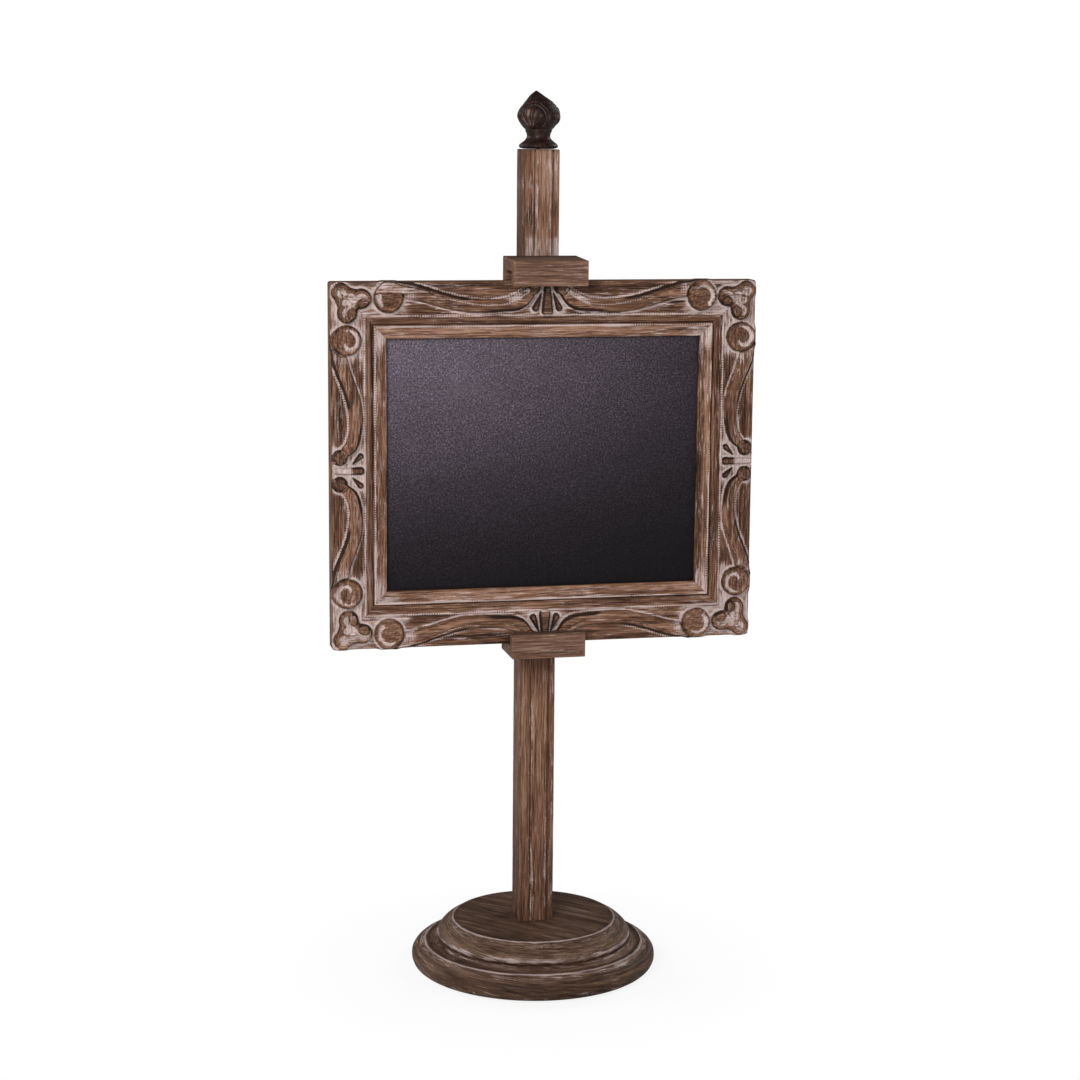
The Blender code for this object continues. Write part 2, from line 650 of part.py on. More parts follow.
def make_splines(rails):
    """Thin key let into the back of each mitre."""
    splines = []
    length, thickness, depth = SPLINE_SIZE
    for side_x, side_z, label in (
        (-1, 1, "top_left"), (1, 1, "top_right"), (1, -1, "bottom_right"), (-1, -1, "bottom_left"),
    ):
        corner_z = FRAME_BOTTOM_Z + FRAME_HEIGHT if side_z > 0 else FRAME_BOTTOM_Z
        x = FRAME_CENTRE_X + side_x * (FRAME_HALF_WIDTH - SPLINE_AT)
        z = corner_z - side_z * SPLINE_AT
        angle = math.radians(45.0 * side_x * side_z)
        name = f"mitre_spline_{label}"
        high = (length / 2.0, -SPLINE_SINK, thickness / 2.0)
        low = (-length / 2.0, -SPLINE_SINK - depth, -thickness / 2.0)
        spline = add_part(name, box_mesh(name, low, high), "steel", (x, FRAME_BACK_Y, z))
        spline.rotation_euler = (0.0, angle, 0.0)
        slot_high = (length / 2.0 + GAP, 0.0050, thickness / 2.0 + GAP)
        slot_low = (-length / 2.0 - GAP, -SPLINE_SINK - depth - GAP, -thickness / 2.0 - GAP)
        slot_mesh = box_mesh(name + "_slot", slot_low, slot_high)
        slot = add_cutter(name + "_slot", slot_mesh, (x, FRAME_BACK_Y, z))
        slot.rotation_euler = (0.0, angle, 0.0)
        for host in label.split("_"):
            boolean(rails[host], slot)
        splines.append(spline)
    return splines


def make_buttons(rails):
    """Turn buttons on the back of the frame, each on its own pivot screw."""
    pieces = []
    front = FRAME_BACK_Y + GAP
    top_z = FRAME_BOTTOM_Z + FRAME_HEIGHT - BUTTON_DEPTH
    bottom_z = FRAME_BOTTOM_Z + BUTTON_DEPTH
    corners = (
        (-1, -1, "top", top_z), (1, -1, "top", top_z),
        (1, 1, "bottom", bottom_z), (-1, 1, "bottom", bottom_z),
    )
    for index, (side, inward, host, z) in enumerate(corners):
        x = FRAME_CENTRE_X + side * BUTTON_X
        arc = []
        steps = 6
        for end, reach in ((inward, BUTTON_REACH), (-inward, BUTTON_TAIL)):
            for step in range(steps + 1):
                angle = math.pi * step / steps
                across = BUTTON_HALF_WIDTH * math.cos(angle) * end
                up = end * (reach - BUTTON_HALF_WIDTH + BUTTON_HALF_WIDTH * math.sin(angle))
                arc.append((across, 0.0, up))
        name = f"turn_button_{index + 1}"
        button = add_part(name, prism_mesh(name, arc, (0.0, BUTTON_THICKNESS, 0.0)), "brass")
        radius = BUTTON_HOLE_RADIUS
        hole_profile = ((0.0, 0.010), (radius, 0.010), (radius, -0.010), (0.0, -0.010))
        hole = turned_cutter(name + "_hole", hole_profile, 16)
        aim(hole, (x, front, z), (0, -1, 0))
        boolean(button, hole)
        button.location = (x, front, z)
        pieces.append(button)
        pieces.append(make_pivot(index, (x, front, z), rails[host]))
    return pieces


def make_pivot(index, position, host):
    """Round-head screw through a turn button into the rail."""
    head_front = BUTTON_THICKNESS + GAP
    head_rear = head_front + 0.0013
    profile = (
        (0.0, head_rear), (PIVOT_HEAD_RADIUS * 0.6, head_rear), (PIVOT_HEAD_RADIUS, head_front + 0.0004),
        (PIVOT_HEAD_RADIUS, head_front), (PIVOT_SHANK_RADIUS, head_front),
        (PIVOT_SHANK_RADIUS, -PIVOT_LENGTH + 0.002), (0.0, -PIVOT_LENGTH),
    )
    name = f"button_pivot_{index + 1}"
    pivot = turned(name, profile, "steel", 16)
    aim(pivot, position, (0, -1, 0))
    radius = PIVOT_SHANK_RADIUS + GAP
    hole_profile = ((0.0, 0.0), (radius, 0.0), (radius, -PIVOT_LENGTH - GAP), (0.0, -PIVOT_LENGTH - GAP))
    hole = turned_cutter(name + "_hole", hole_profile, 16)
    aim(hole, position, (0, -1, 0))
    boolean(host, hole)
    return pivot


BOLT_HOLE = make_base()
POST = make_post(BOLT_HOLE)
make_finial(POST)
make_lower_clip(POST)
make_upper_clip()
make_clamp()
make_frame()
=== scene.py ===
import json
import math
from types import SimpleNamespace

import bmesh
import bpy
import numpy as np
from mathutils import Matrix, Vector


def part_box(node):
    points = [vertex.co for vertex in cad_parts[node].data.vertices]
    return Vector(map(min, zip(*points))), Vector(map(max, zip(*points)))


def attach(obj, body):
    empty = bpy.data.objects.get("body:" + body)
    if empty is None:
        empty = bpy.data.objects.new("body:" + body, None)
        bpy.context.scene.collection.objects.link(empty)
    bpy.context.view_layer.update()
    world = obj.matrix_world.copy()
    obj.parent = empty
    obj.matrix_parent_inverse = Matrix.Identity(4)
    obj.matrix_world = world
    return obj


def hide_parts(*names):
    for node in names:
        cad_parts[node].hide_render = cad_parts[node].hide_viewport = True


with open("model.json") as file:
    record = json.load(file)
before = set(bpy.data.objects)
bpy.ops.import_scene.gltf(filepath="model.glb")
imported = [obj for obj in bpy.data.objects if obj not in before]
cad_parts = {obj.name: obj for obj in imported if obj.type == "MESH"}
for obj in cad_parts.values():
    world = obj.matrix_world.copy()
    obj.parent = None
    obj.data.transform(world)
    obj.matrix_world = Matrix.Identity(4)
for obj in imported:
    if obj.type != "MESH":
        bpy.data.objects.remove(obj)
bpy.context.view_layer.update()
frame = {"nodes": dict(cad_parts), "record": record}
nodes = frame["nodes"]
slots = {row["node"]: row["material_slot"] for row in frame["record"]["subparts"]}
MM = 0.001
TAU = 2.0 * math.pi


# ---- small tools

def smooth(x, low, high):
    """0 below low, 1 above high, eased between."""
    t = np.clip((x - low) / (high - low), 0.0, 1.0)
    return t * t * (3.0 - 2.0 * t)


def line(x, at, width):
    """1 at a value, fading to nothing about `width` to either side of it."""
    return np.exp(-np.clip(np.abs((x - at) / width), 0.0, 6.0) ** 2)


def band(x, low, high, fade):
    """1 between two values, fading outside them."""
    return smooth(x, low - fade, low) * smooth(high + fade - x, 0.0, fade)


def dome(inside, width):
    """Quarter round that starts at an outline and levels off `width` inside it."""
    t = np.clip(inside / width, 0.0, 1.0)
    return np.sqrt(1.0 - (1.0 - t) ** 2)


def ripple(a, b, seed):
    """Slow, uneven waves from -1 to 1, as a carver's hand leaves them."""
    return (
        np.sin(a * 0.31 + b * 0.47 + seed * 1.7)
        + np.sin(a * 0.173 - b * 0.29 + seed * 2.9 + 1.3)
        + np.sin(a * 0.71 + b * 0.13 + seed * 0.7 + 2.1)
        + np.sin(-a * 0.097 + b * 0.83 + seed * 3.1)
    ) / 4.0


def capsule(x, y, x0, y0, r0, x1, y1, r1):
    """How far inside a tapered bar with round ends each point is."""
    dx, dy = x1 - x0, y1 - y0
    t = np.clip(((x - x0) * dx + (y - y0) * dy) / (dx * dx + dy * dy), 0.0, 1.0)
    return r0 + (r1 - r0) * t - np.hypot(x - x0 - dx * t, y - y0 - dy * t)


def merged(insides, blend):
    """How far inside some softly joined shapes each point is."""
    return blend * np.log(np.sum(np.exp(np.clip(np.array(insides) / blend, -60.0, 60.0)), axis=0))


def surface_normals(rings):
    """Normals of a grid of points that closes round its second axis."""
    padded = np.concatenate((rings[:1], rings, rings[-1:]))
    along = padded[2:] - padded[:-2]
    around = np.roll(rings, -1, 1) - np.roll(rings, 1, 1)
    normal = np.cross(around, along)
    return normal / np.maximum(np.linalg.norm(normal, axis=-1, keepdims=True), 1e-12)


def hollow(rings, rounds):
    """How far, in millimetres, each point lies below the grid's own smoothed shape."""
    soft = rings.copy()
    for _ in range(rounds):
        padded = np.concatenate((soft[:1], soft, soft[-1:]))
        soft = (padded[:-2] + padded[2:] + np.roll(soft, 1, 1) + np.roll(soft, -1, 1)) / 4.0
    return ((soft - rings) * surface_normals(rings)).sum(-1) / MM


def set_values(mesh, **values):
    """Per-vertex numbers that the materials read by name."""
    for name, numbers in values.items():
        layer = mesh.attributes.new(name, "FLOAT", "POINT")
        layer.data.foreach_set("value", np.clip(np.asarray(numbers, np.float32), -1.0, 1.5).ravel())


def loft(name, rings, **values):
    """A closed body from rings of points: a grid of quads with a flat face at each end."""
    count, around = rings.shape[:2]
    index = np.arange(count * around).reshape(count, around)
    near, far = index[:-1], index[1:]
    quads = np.stack((near, np.roll(near, -1, 1), np.roll(far, -1, 1), far), -1).reshape(-1, 4)
    caps = [index[0][::-1].tolist(), index[-1].tolist()]
    mesh = bpy.data.meshes.new(name)
    mesh.from_pydata(rings.reshape(-1, 3).tolist(), [], quads.tolist() + caps)
    mesh.shade_smooth()
    set_values(mesh, **values)
    return linked(name, mesh)


def linked(name, data):
    made = bpy.data.objects.new(name, data)
    bpy.context.scene.collection.objects.link(made)
    return made


def place(piece, body, material, replaced):
    piece.data.materials.clear()
    piece.data.materials.append(material)
    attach(piece, body)
    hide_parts(replaced)


# ---- node materials

# A Mix node's sockets.
VECTOR_A, VECTOR_B, VECTOR_OUT = 4, 5, 1
COLOUR_A, COLOUR_B, COLOUR_OUT = 6, 7, 2


def node(tree, kind, values=None, **settings):
    made = tree.nodes.new("ShaderNode" + kind)
    for key, value in settings.items():
        setattr(made, key, value)
    for key, value in (values or {}).items():
        if isinstance(value, bpy.types.NodeSocket):
            tree.links.new(value, made.inputs[key])
        else:
            made.inputs[key].default_value = value
    return made


def calc(tree, operation, a, b=0.0, c=0.0, clamp=False):
    return node(tree, "Math", {0: a, 1: b, 2: c}, operation=operation, use_clamp=clamp).outputs[0]


def add_up(tree, *terms, offset=0.0):
    """The sum of (value, weight) pairs."""
    total = offset
    for value, weight in terms:
        total = calc(tree, "MULTIPLY_ADD", value, weight, total)
    return total


def mix(tree, factor, a, b):
    made = node(tree, "Mix", {0: factor}, data_type="RGBA")
    for index, value in ((COLOUR_A, a), (COLOUR_B, b)):
        if isinstance(value, bpy.types.NodeSocket):
            tree.links.new(value, made.inputs[index])
        else:
            made.inputs[index].default_value = (*value, 1.0)
    return made.outputs[COLOUR_OUT]


def spread(tree, value, low, high, shape="LINEAR"):
    """Stretches low..high of a value to 0..1."""
    return node(tree, "MapRange", {0: value, 1: low, 2: high}, interpolation_type=shape).outputs[0]


def tones(tree, value, *stops):
    made = node(tree, "ValToRGB", {0: value})
    ramp = made.color_ramp
    while len(ramp.elements) < len(stops):
        ramp.elements.new(1.0)
    for element, (position, colour) in zip(ramp.elements, stops):
        element.position = position
        element.color = (*colour, 1.0)
    return made.outputs[0]


def noise(tree, where, scale, detail=4.0, rough=0.55, bend=0.0, shift=0.0):
    """Noise stretched by a scale for each axis, in cells per metre."""
    moved = (shift, shift * 0.7, shift * 1.3)
    mapped = node(tree, "Mapping", {"Vector": where, "Location": moved, "Scale": scale})
    made = node(tree, "TexNoise", {0: mapped.outputs[0], "Scale": 1.0, "Detail": detail,
                                   "Roughness": rough, "Distortion": bend})
    return made.outputs[0]


def attribute(tree, name):
    return node(tree, "Attribute", attribute_name=name).outputs["Fac"]


def start(name, specular=0.5):
    material = bpy.data.materials.new(name)
    material.use_nodes = True
    tree = material.node_tree
    shader = tree.nodes["Principled BSDF"]
    shader.inputs["Specular IOR Level"].default_value = specular
    where = node(tree, "TexCoord").outputs["Object"]
    return material, tree, shader, where


def finish(tree, shader, colour, roughness, height, depth):
    tree.links.new(colour, shader.inputs["Base Color"])
    tree.links.new(roughness, shader.inputs["Roughness"])
    bump = node(tree, "Bump", {"Strength": 1.0, "Distance": depth, "Height": height})
    tree.links.new(bump.outputs[0], shader.inputs["Normal"])


def turned_grain(tree, where, flat_radius):
    """Places whose grain runs straight on a disc's flat top and sweeps round its moulded edge."""
    x, y, z = node(tree, "SeparateXYZ", {0: where}).outputs
    plan = node(tree, "CombineXYZ", {0: x, 1: y}).outputs[0]
    radius = node(tree, "VectorMath", {0: plan}, operation="LENGTH").outputs["Value"]
    unit = node(tree, "VectorMath", {0: plan}, operation="NORMALIZE").outputs[0]
    heading = node(tree, "SeparateXYZ", {0: unit}).outputs
    slant = calc(tree, "MULTIPLY_ADD", heading[0], 0.012, calc(tree, "SUBTRACT", z, radius))
    edge_x = calc(tree, "MULTIPLY", heading[0], 0.16)
    edge_y = calc(tree, "MULTIPLY", heading[1], 0.010)
    edge = node(tree, "CombineXYZ", {0: edge_x, 1: edge_y, 2: slant}).outputs[0]
    outer = calc(tree, "GREATER_THAN", radius, flat_radius)
    made = node(tree, "Mix", {0: outer}, data_type="VECTOR")
    tree.links.new(where, made.inputs[VECTOR_A])
    tree.links.new(edge, made.inputs[VECTOR_B])
    return made.outputs[VECTOR_OUT]


def washed_wood(name, along, browns, pale, turn=0.0, shift=0.0, figured=0.0, flat_radius=0.0):
    """Brown stained wood: grain streaks, a patchy pale wash, dirt and painted shade, wear and painted glints.

    `along` is the axis of the grain, `pale` the wash left outside the hollows, and `figured` how far broad
    figure outweighs fibres. A turned disc's grain is straight, at the angle `turn`, out to `flat_radius`.
    The mesh gives wash, soil, ridge (wear and painted glints), tan (lighter) and worked (quieter grain).
    """
    material, tree, shader, where = start(name, specular=0.12)
    if flat_radius:
        turned = node(tree, "Mapping", {"Vector": where, "Rotation": (0.0, 0.0, turn)}).outputs[0]
        where = turned_grain(tree, turned, flat_radius)

    def stretched(across, length):
        return tuple(length if axis == along else across for axis in range(3))

    hairs = noise(tree, where, stretched(1150.0, 60.0), 2.0, 0.6, 0.0, shift + 1.0)
    fibres = noise(tree, where, stretched(600.0, 20.0), 4.0, 0.62, 0.5, shift)
    figure = noise(tree, where, stretched(120.0 - 45.0 * figured, 6.0), 3.0, 0.5, 0.9, shift + 3.0)
    scuffs = noise(tree, where, stretched(520.0, 44.0), 5.0, 0.68, 0.4, shift + 7.0)
    blotch = noise(tree, where, stretched(70.0, 26.0), 3.0, 0.55, 0.3, shift + 11.0)
    grit = noise(tree, where, (1100.0, 1100.0, 1100.0), 2.0, 0.6)

    tone = add_up(tree, (fibres, 0.46 - 0.16 * figured), (figure, 0.26 + 0.20 * figured),
                  (hairs, 0.28 - 0.04 * figured), offset=-0.5)
    loud = calc(tree, "MULTIPLY_ADD", attribute(tree, "worked"), -0.42, 1.0)
    # The tone moves with the mesh's tan value: grain tone and painted light.
    tone = calc(tree, "MULTIPLY_ADD", tone, loud, add_up(tree, (attribute(tree, "tan"), 0.070), offset=0.5))
    dark, brown, middle, light = browns
    colour = tones(tree, spread(tree, tone, 0.395, 0.610),
                   (0.0, dark), (0.33, brown), (0.62, middle), (1.0, light))

    # Ridges take GLINT orange: rubbed wear and painted glints.
    wear_and_glint = calc(tree, "MULTIPLY", attribute(tree, "ridge"), spread(tree, blotch, 0.40, 0.62), clamp=True)
    colour = mix(tree, wear_and_glint, colour, GLINT)

    laid = add_up(tree, (attribute(tree, "wash"), 1.0), (scuffs, 2.2), (blotch, 0.8), (grit, 0.7),
                  (hairs, 0.8), offset=pale - 2.25)
    chalk = calc(tree, "MULTIPLY", spread(tree, laid, 0.16, 0.78, "SMOOTHSTEP"), 0.90)
    colour = mix(tree, chalk, colour, mix(tree, spread(tree, fibres, 0.38, 0.62), WASH_GREY, WASH))

    # Dirt and painted shade, from the mesh's soil value.
    stain = add_up(tree, (attribute(tree, "soil"), 1.0), (scuffs, -0.9), (blotch, -0.7), offset=0.8)
    stain = calc(tree, "MULTIPLY", calc(tree, "MULTIPLY", stain, attribute(tree, "soil")), 1.25, clamp=True)
    colour = mix(tree, calc(tree, "MULTIPLY", stain, 0.94), colour, SOIL_AND_SHADE)

    height = add_up(tree, (fibres, 0.6), (hairs, 0.25), (grit, 0.15))
    roughness = calc(tree, "MULTIPLY_ADD", fibres, 0.35, 0.42)
    finish(tree, shader, colour, roughness, height, 0.0006)
    return material


# Which way the grain of a piece runs.
ACROSS, DEPTHWISE, UPRIGHT = range(3)

# Wood colours: linear red, green and blue, the browns from the darkest streak to the lightest.
WASH = (0.610, 0.485, 0.460)
WASH_GREY = (0.370, 0.290, 0.272)
# GLINT colours wear and painted glints on ridges; SOIL_AND_SHADE colours dirt and painted shade.
GLINT = (0.320, 0.150, 0.062)
SOIL_AND_SHADE = (0.017, 0.008, 0.005)
RAIL_BROWNS = ((0.021, 0.009, 0.005), (0.076, 0.034, 0.020), (0.150, 0.072, 0.042), (0.312, 0.174, 0.116))
POST_BROWNS = ((0.046, 0.020, 0.011), (0.112, 0.051, 0.029), (0.176, 0.088, 0.053), (0.284, 0.170, 0.118))
CLIP_BROWNS = ((0.036, 0.017, 0.011), (0.092, 0.046, 0.030), (0.136, 0.071, 0.047), (0.225, 0.142, 0.104))
BASE_BROWNS = ((0.017, 0.008, 0.004), (0.052, 0.027, 0.016), (0.094, 0.051, 0.033), (0.185, 0.115, 0.080))

rail_wood = {
    ACROSS: washed_wood("washed_wood_across", ACROSS, RAIL_BROWNS, 0.05),
    UPRIGHT: washed_wood("washed_wood_upright", UPRIGHT, RAIL_BROWNS, 0.05, shift=5.0),
}
post_wood = washed_wood("washed_wood_post", UPRIGHT, POST_BROWNS, -0.08, shift=9.0)
clip_wood = {
    ACROSS: washed_wood("washed_wood_clips", ACROSS, CLIP_BROWNS, -0.09, shift=13.0),
    DEPTHWISE: washed_wood("washed_wood_cheeks", DEPTHWISE, CLIP_BROWNS, -0.09, shift=13.0),
}
base_wood = washed_wood("washed_wood_base", ACROSS, BASE_BROWNS, -0.20,
                        turn=0.80, shift=17.0, figured=0.25, flat_radius=0.089)
foot_wood = washed_wood("washed_wood_foot", ACROSS, BASE_BROWNS, -0.16,
                        turn=0.45, shift=21.0, figured=0.5, flat_radius=0.02)


def stained_finial():
    """Near black stain, with rubbed wear and painted highlights on the ridges and painted shade in the
    hollows.
    """
    material, tree, shader, where = start("dark_stained_wood", specular=0.14)
    streak = noise(tree, where, (300.0, 300.0, 90.0), 4.0, 0.6, 0.6)
    cloud = noise(tree, where, (120.0, 120.0, 120.0), 3.0)
    colour = tones(tree, spread(tree, streak, 0.34, 0.68), (0.0, (0.008, 0.0033, 0.0022)),
                   (0.6, (0.020, 0.0084, 0.0058)), (1.0, (0.048, 0.023, 0.016)))
    # Ridges take pinkish wear and painted highlights; hollows take painted shade.
    wear_and_glint = calc(tree, "MULTIPLY", attribute(tree, "ridge"), spread(tree, cloud, 0.36, 0.60), clamp=True)
    colour = mix(tree, wear_and_glint, colour, (0.275, 0.158, 0.130))
    soiled = calc(tree, "MULTIPLY", attribute(tree, "soil"), 0.9, clamp=True)
    colour = mix(tree, soiled, colour, (0.0040, 0.0026, 0.0020))
    roughness = calc(tree, "MULTIPLY_ADD", cloud, 0.3, 0.32)
    finish(tree, shader, colour, roughness, streak, 0.0004)
    return material


def board_paint():
    """Black board paint with a fine orange peel, paler towards the upper left from chalk dust and a painted
    sheen.
    """
    material, tree, shader, where = start("chalkboard_paint", specular=0.06)
    low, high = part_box("chalkboard_panel")
    split = node(tree, "SeparateXYZ", {0: where})
    right = spread(tree, split.outputs[0], low.x, high.x)
    top = spread(tree, split.outputs[2], low.z, high.z)
    peel = noise(tree, where, (600.0, 600.0, 600.0), 2.0, 0.5, 0.7)
    speck = noise(tree, where, (1500.0, 1500.0, 1500.0), 1.0)
    smear = noise(tree, where, (16.0, 16.0, 26.0), 4.0, 0.6, 0.5)
    # Chalk dust and a painted sheen: a pale lobe peaking beyond the upper left corner, grained by the peel.
    aside = calc(tree, "POWER", calc(tree, "ADD", right, 0.197), 2.0)
    below = calc(tree, "POWER", calc(tree, "SUBTRACT", 1.0, top), 2.0)
    dust_and_sheen = calc(tree, "EXPONENT", add_up(tree, (aside, -1.0), (below, -3.4)))
    grain = calc(tree, "EXPONENT", add_up(tree, (peel, 4.3), (speck, 2.3), (smear, 0.5), offset=-3.62))
    dust_and_sheen = calc(tree, "MULTIPLY", calc(tree, "MULTIPLY_ADD", dust_and_sheen, 0.37, 0.009), grain, clamp=True)
    colour = mix(tree, dust_and_sheen, (0.0034, 0.0030, 0.0034), (0.290, 0.232, 0.292))
    roughness = calc(tree, "MULTIPLY_ADD", smear, 0.2, 0.46)
    finish(tree, shader, colour, roughness, peel, 0.0005)
    return material


def metal(name, dark, light, rough, brushed):
    material, tree, shader, where = start(name)
    brush = noise(tree, where, brushed, 4.0, 0.6)
    stain = noise(tree, where, (180.0, 180.0, 180.0), 4.0, 0.6)
    colour = tones(tree, add_up(tree, (brush, 0.5), (stain, 0.5)), (0.3, dark), (0.7, light))
    roughness = calc(tree, "MULTIPLY_ADD", stain, 0.3, rough - 0.15)
    finish(tree, shader, colour, roughness, brush, 0.00012)
    shader.inputs["Metallic"].default_value = 1.0
    return material


def plain(name, dark, light, cells, rough, depth):
    """A dull surface with a fine grain of `cells` a metre over a broader one."""
    material, tree, shader, where = start(name, specular=0.3)
    fine = noise(tree, where, (cells,) * 3, 5.0, 0.65)
    broad = noise(tree, where, (cells * 0.12,) * 3, 3.0)
    colour = tones(tree, add_up(tree, (fine, 0.6), (broad, 0.4)), (0.32, dark), (0.68, light))
    roughness = calc(tree, "MULTIPLY_ADD", fine, 0.25, rough - 0.12)
    finish(tree, shader, colour, roughness, fine, depth)
    return material


finial_wood = stained_finial()
kept = {
    "panel_black": board_paint(),
    "backing": plain("hardboard", (0.120, 0.066, 0.034), (0.230, 0.140, 0.080), 700.0, 0.78, 0.0005),
    "felt": plain("felt", (0.010, 0.010, 0.010), (0.040, 0.038, 0.036), 1600.0, 0.95, 0.0008),
    "steel": metal("zinc_steel", (0.30, 0.30, 0.31), (0.62, 0.62, 0.63), 0.38, (900.0, 900.0, 200.0)),
    "brass": metal("brass", (0.42, 0.27, 0.09), (0.78, 0.56, 0.24), 0.32, (200.0, 900.0, 900.0)),
    "knob_black": plain("knob_plastic", (0.010, 0.010, 0.011), (0.028, 0.027, 0.028), 1200.0, 0.5, 0.0002),
}


# ---- the rails
# A rail is drawn in millimetres: `along` runs from its middle, clockwise as seen from the front, u runs in
# from the outer edge towards the board, and height is off the back. d is the distance from the near corner
# and c the distance from the carving's middle; v is u with the hand's unevenness in it.

HAIR = 0.12  # open joint at each mitre
SECTION_STEP = 0.56  # between sections of a rail
STEM_START = 80.0  # from the corner to a stem's root
TEETH = 2.6  # between the tool marks on a pale line
RIDGE_U = 35.0  # the line that closes the carving
CREST_U = 46.6  # the moulding's inner crest
GROUND = 20.0  # height the carving stands on
WALL_TOP = 12.5  # height of the plain outer wall
EDGE_TOP = 19.6  # height of the uncarved outer edge
# Centres (from the corner, from the edge) and radii.
VOLUTE = (60.0, 16.3, 15.9)
LOBES = ((10.9, 10.9, 9.6), (32.0, 17.0, 10.4), (17.0, 32.0, 10.4), (21.0, 14.0, 7.6),
         (14.0, 21.0, 7.6), (21.5, 21.5, 8.4))
KNOBS = ((33.2, 22.6, 6.0), (22.6, 33.2, 6.0))
# Distance in from the outer edge of the stem's two sides, by its share of the way to the middle.
STEM_OUTER = ((-0.30, -3.0), (0.0, -0.5), (0.12, 4.6), (0.25, 10.9), (0.35, 15.0), (0.47, 18.0), (0.56, 18.9),
              (0.65, 18.6), (0.72, 16.6), (0.79, 11.8), (0.85, 6.0), (0.91, 0.5), (1.0, -3.0))
STEM_INNER = ((-0.30, 12.0), (0.0, 17.6), (0.09, 20.3), (0.20, 24.9), (0.30, 29.0), (0.38, 31.4),
              (0.47, 32.8), (0.57, 32.7), (0.66, 31.8), (0.74, 31.0), (1.0, 31.0))
# The same for the stem's curled end, by distance from the bead's centre line.
STEM_CURL = ((-8.0, -4.0), (-3.6, 11.3), (1.0, 17.7), (4.2, 22.6), (8.1, 26.4), (13.0, 28.9), (18.4, 30.4),
             (26.0, 32.0), (40.0, 36.0))
# Moulding between the carving and the board: distance in from the outer edge, height off the back.
MOULDING = ((36.6, 20.6), (37.4, 19.6), (38.6, 18.5), (40.0, 17.2), (41.5, 15.8), (42.8, 14.7), (43.8, 13.7),
            (44.5, 12.9), (45.0, 12.5), (45.35, 13.0), (45.6, 15.3), (45.9, 16.2), (46.4, 16.6), (47.2, 16.6),
            (48.0, 16.2), (49.4, 15.9), (51.2, 15.4), (53.2, 14.8), (55.0, 14.2), (56.6, 13.6), (58.0, 12.9),
            (58.8, 12.5), (59.2, 12.2), (59.4, 11.8))


def eased(points, x, step):
    """A table read with its corners rounded."""
    xs, ys = zip(*points)
    shifts = (-step, -step / 2.0, 0.0, step / 2.0, step)
    return sum(np.interp(x + shift, xs, ys) for shift in shifts) / len(shifts)


def rim_soil(inside, depth=2.2):
    """Dark stain and painted shade on the rolled edge just inside a shape's outline."""
    return smooth(inside, -0.2, 0.4) * smooth(depth + 1.4 - inside, 0.0, 1.8)


def volute(rail, x, y, upper):
    """A scroll disc, from its own centre: a crescent on the long rails, a spiral on the short ones."""
    radius = np.hypot(x, y)
    inside = VOLUTE[2] - radius
    height = dome(inside, 3.4) * 6.6 - smooth(inside, 4.4, 7.2) * 1.5 + dome(9.5 - radius, 9.0) * 1.3
    if rail.horizontal:
        turn = np.mod(np.arctan2(y, x) - math.radians(118.0), TAU)
        share = np.clip(turn / math.radians(195.0), 0.0, 1.2)
        width = 0.5 + 2.0 * np.clip(1.0 - share, 0.0, 1.0) ** 0.8
        groove = line(radius, 10.6, width) * smooth(1.05 - share, 0.0, 0.15) * smooth(turn, 0.0, 0.22)
    else:
        image_x, image_y = -rail.side * y, np.where(upper, -x, x)
        opening = np.where(upper, math.radians(226.0), math.radians(43.0))
        turn = np.mod(np.arctan2(image_y, image_x) - opening, TAU)
        path = 11.0 - 7.3 * np.exp(-(turn / 0.95) ** 1.3)
        width = 2.1 - 1.2 * smooth(turn, 2.2, 4.6)
        groove = line(radius, path, width) * smooth(turn, -0.1, 0.1) * smooth(4.7 - turn, 0.0, 1.2)
    soil = rim_soil(inside, 2.8) * 0.72 + smooth(9.5 - radius, 0.0, 3.0) * 0.44
    soil *= 1.0 - groove
    height -= groove * 1.6
    return SimpleNamespace(inside=inside, height=height, wash=groove * 1.25, soil=soil)


def trefoil(p, q):
    """The corner leaf: a rolled rim round a sunk middle with two round knobs in it."""
    inside = merged([r - np.hypot(p - a, q - b) for a, b, r in LOBES], 1.6)
    knobs = merged([r - np.hypot(p - a, q - b) for a, b, r in KNOBS], 0.4)
    knob = smooth(knobs, -0.9, 0.3)
    recess = smooth(inside, 3.6, 5.2) * (1.0 - knob)
    height = dome(inside, 3.1) * 6.5 - recess * 3.0 + dome(knobs, 5.8) * 0.7
    height -= line(knobs, -0.6, 0.7) * 0.9
    mottled = smooth(ripple(p * 2.3, q * 2.9, 6.0) + ripple(p * 3.7, q * 3.1, 2.0) * 0.5, -0.3, 0.9)
    soil = rim_soil(inside) * 0.80 * (1.0 - recess) + rim_soil(knobs, 1.2) * 0.55
    soil += knob * 0.38 + recess * mottled * 0.28
    wash = recess * (0.84 - 0.32 * mottled) - 0.08
    return SimpleNamespace(inside=inside, height=height, wash=wash, soil=soil)


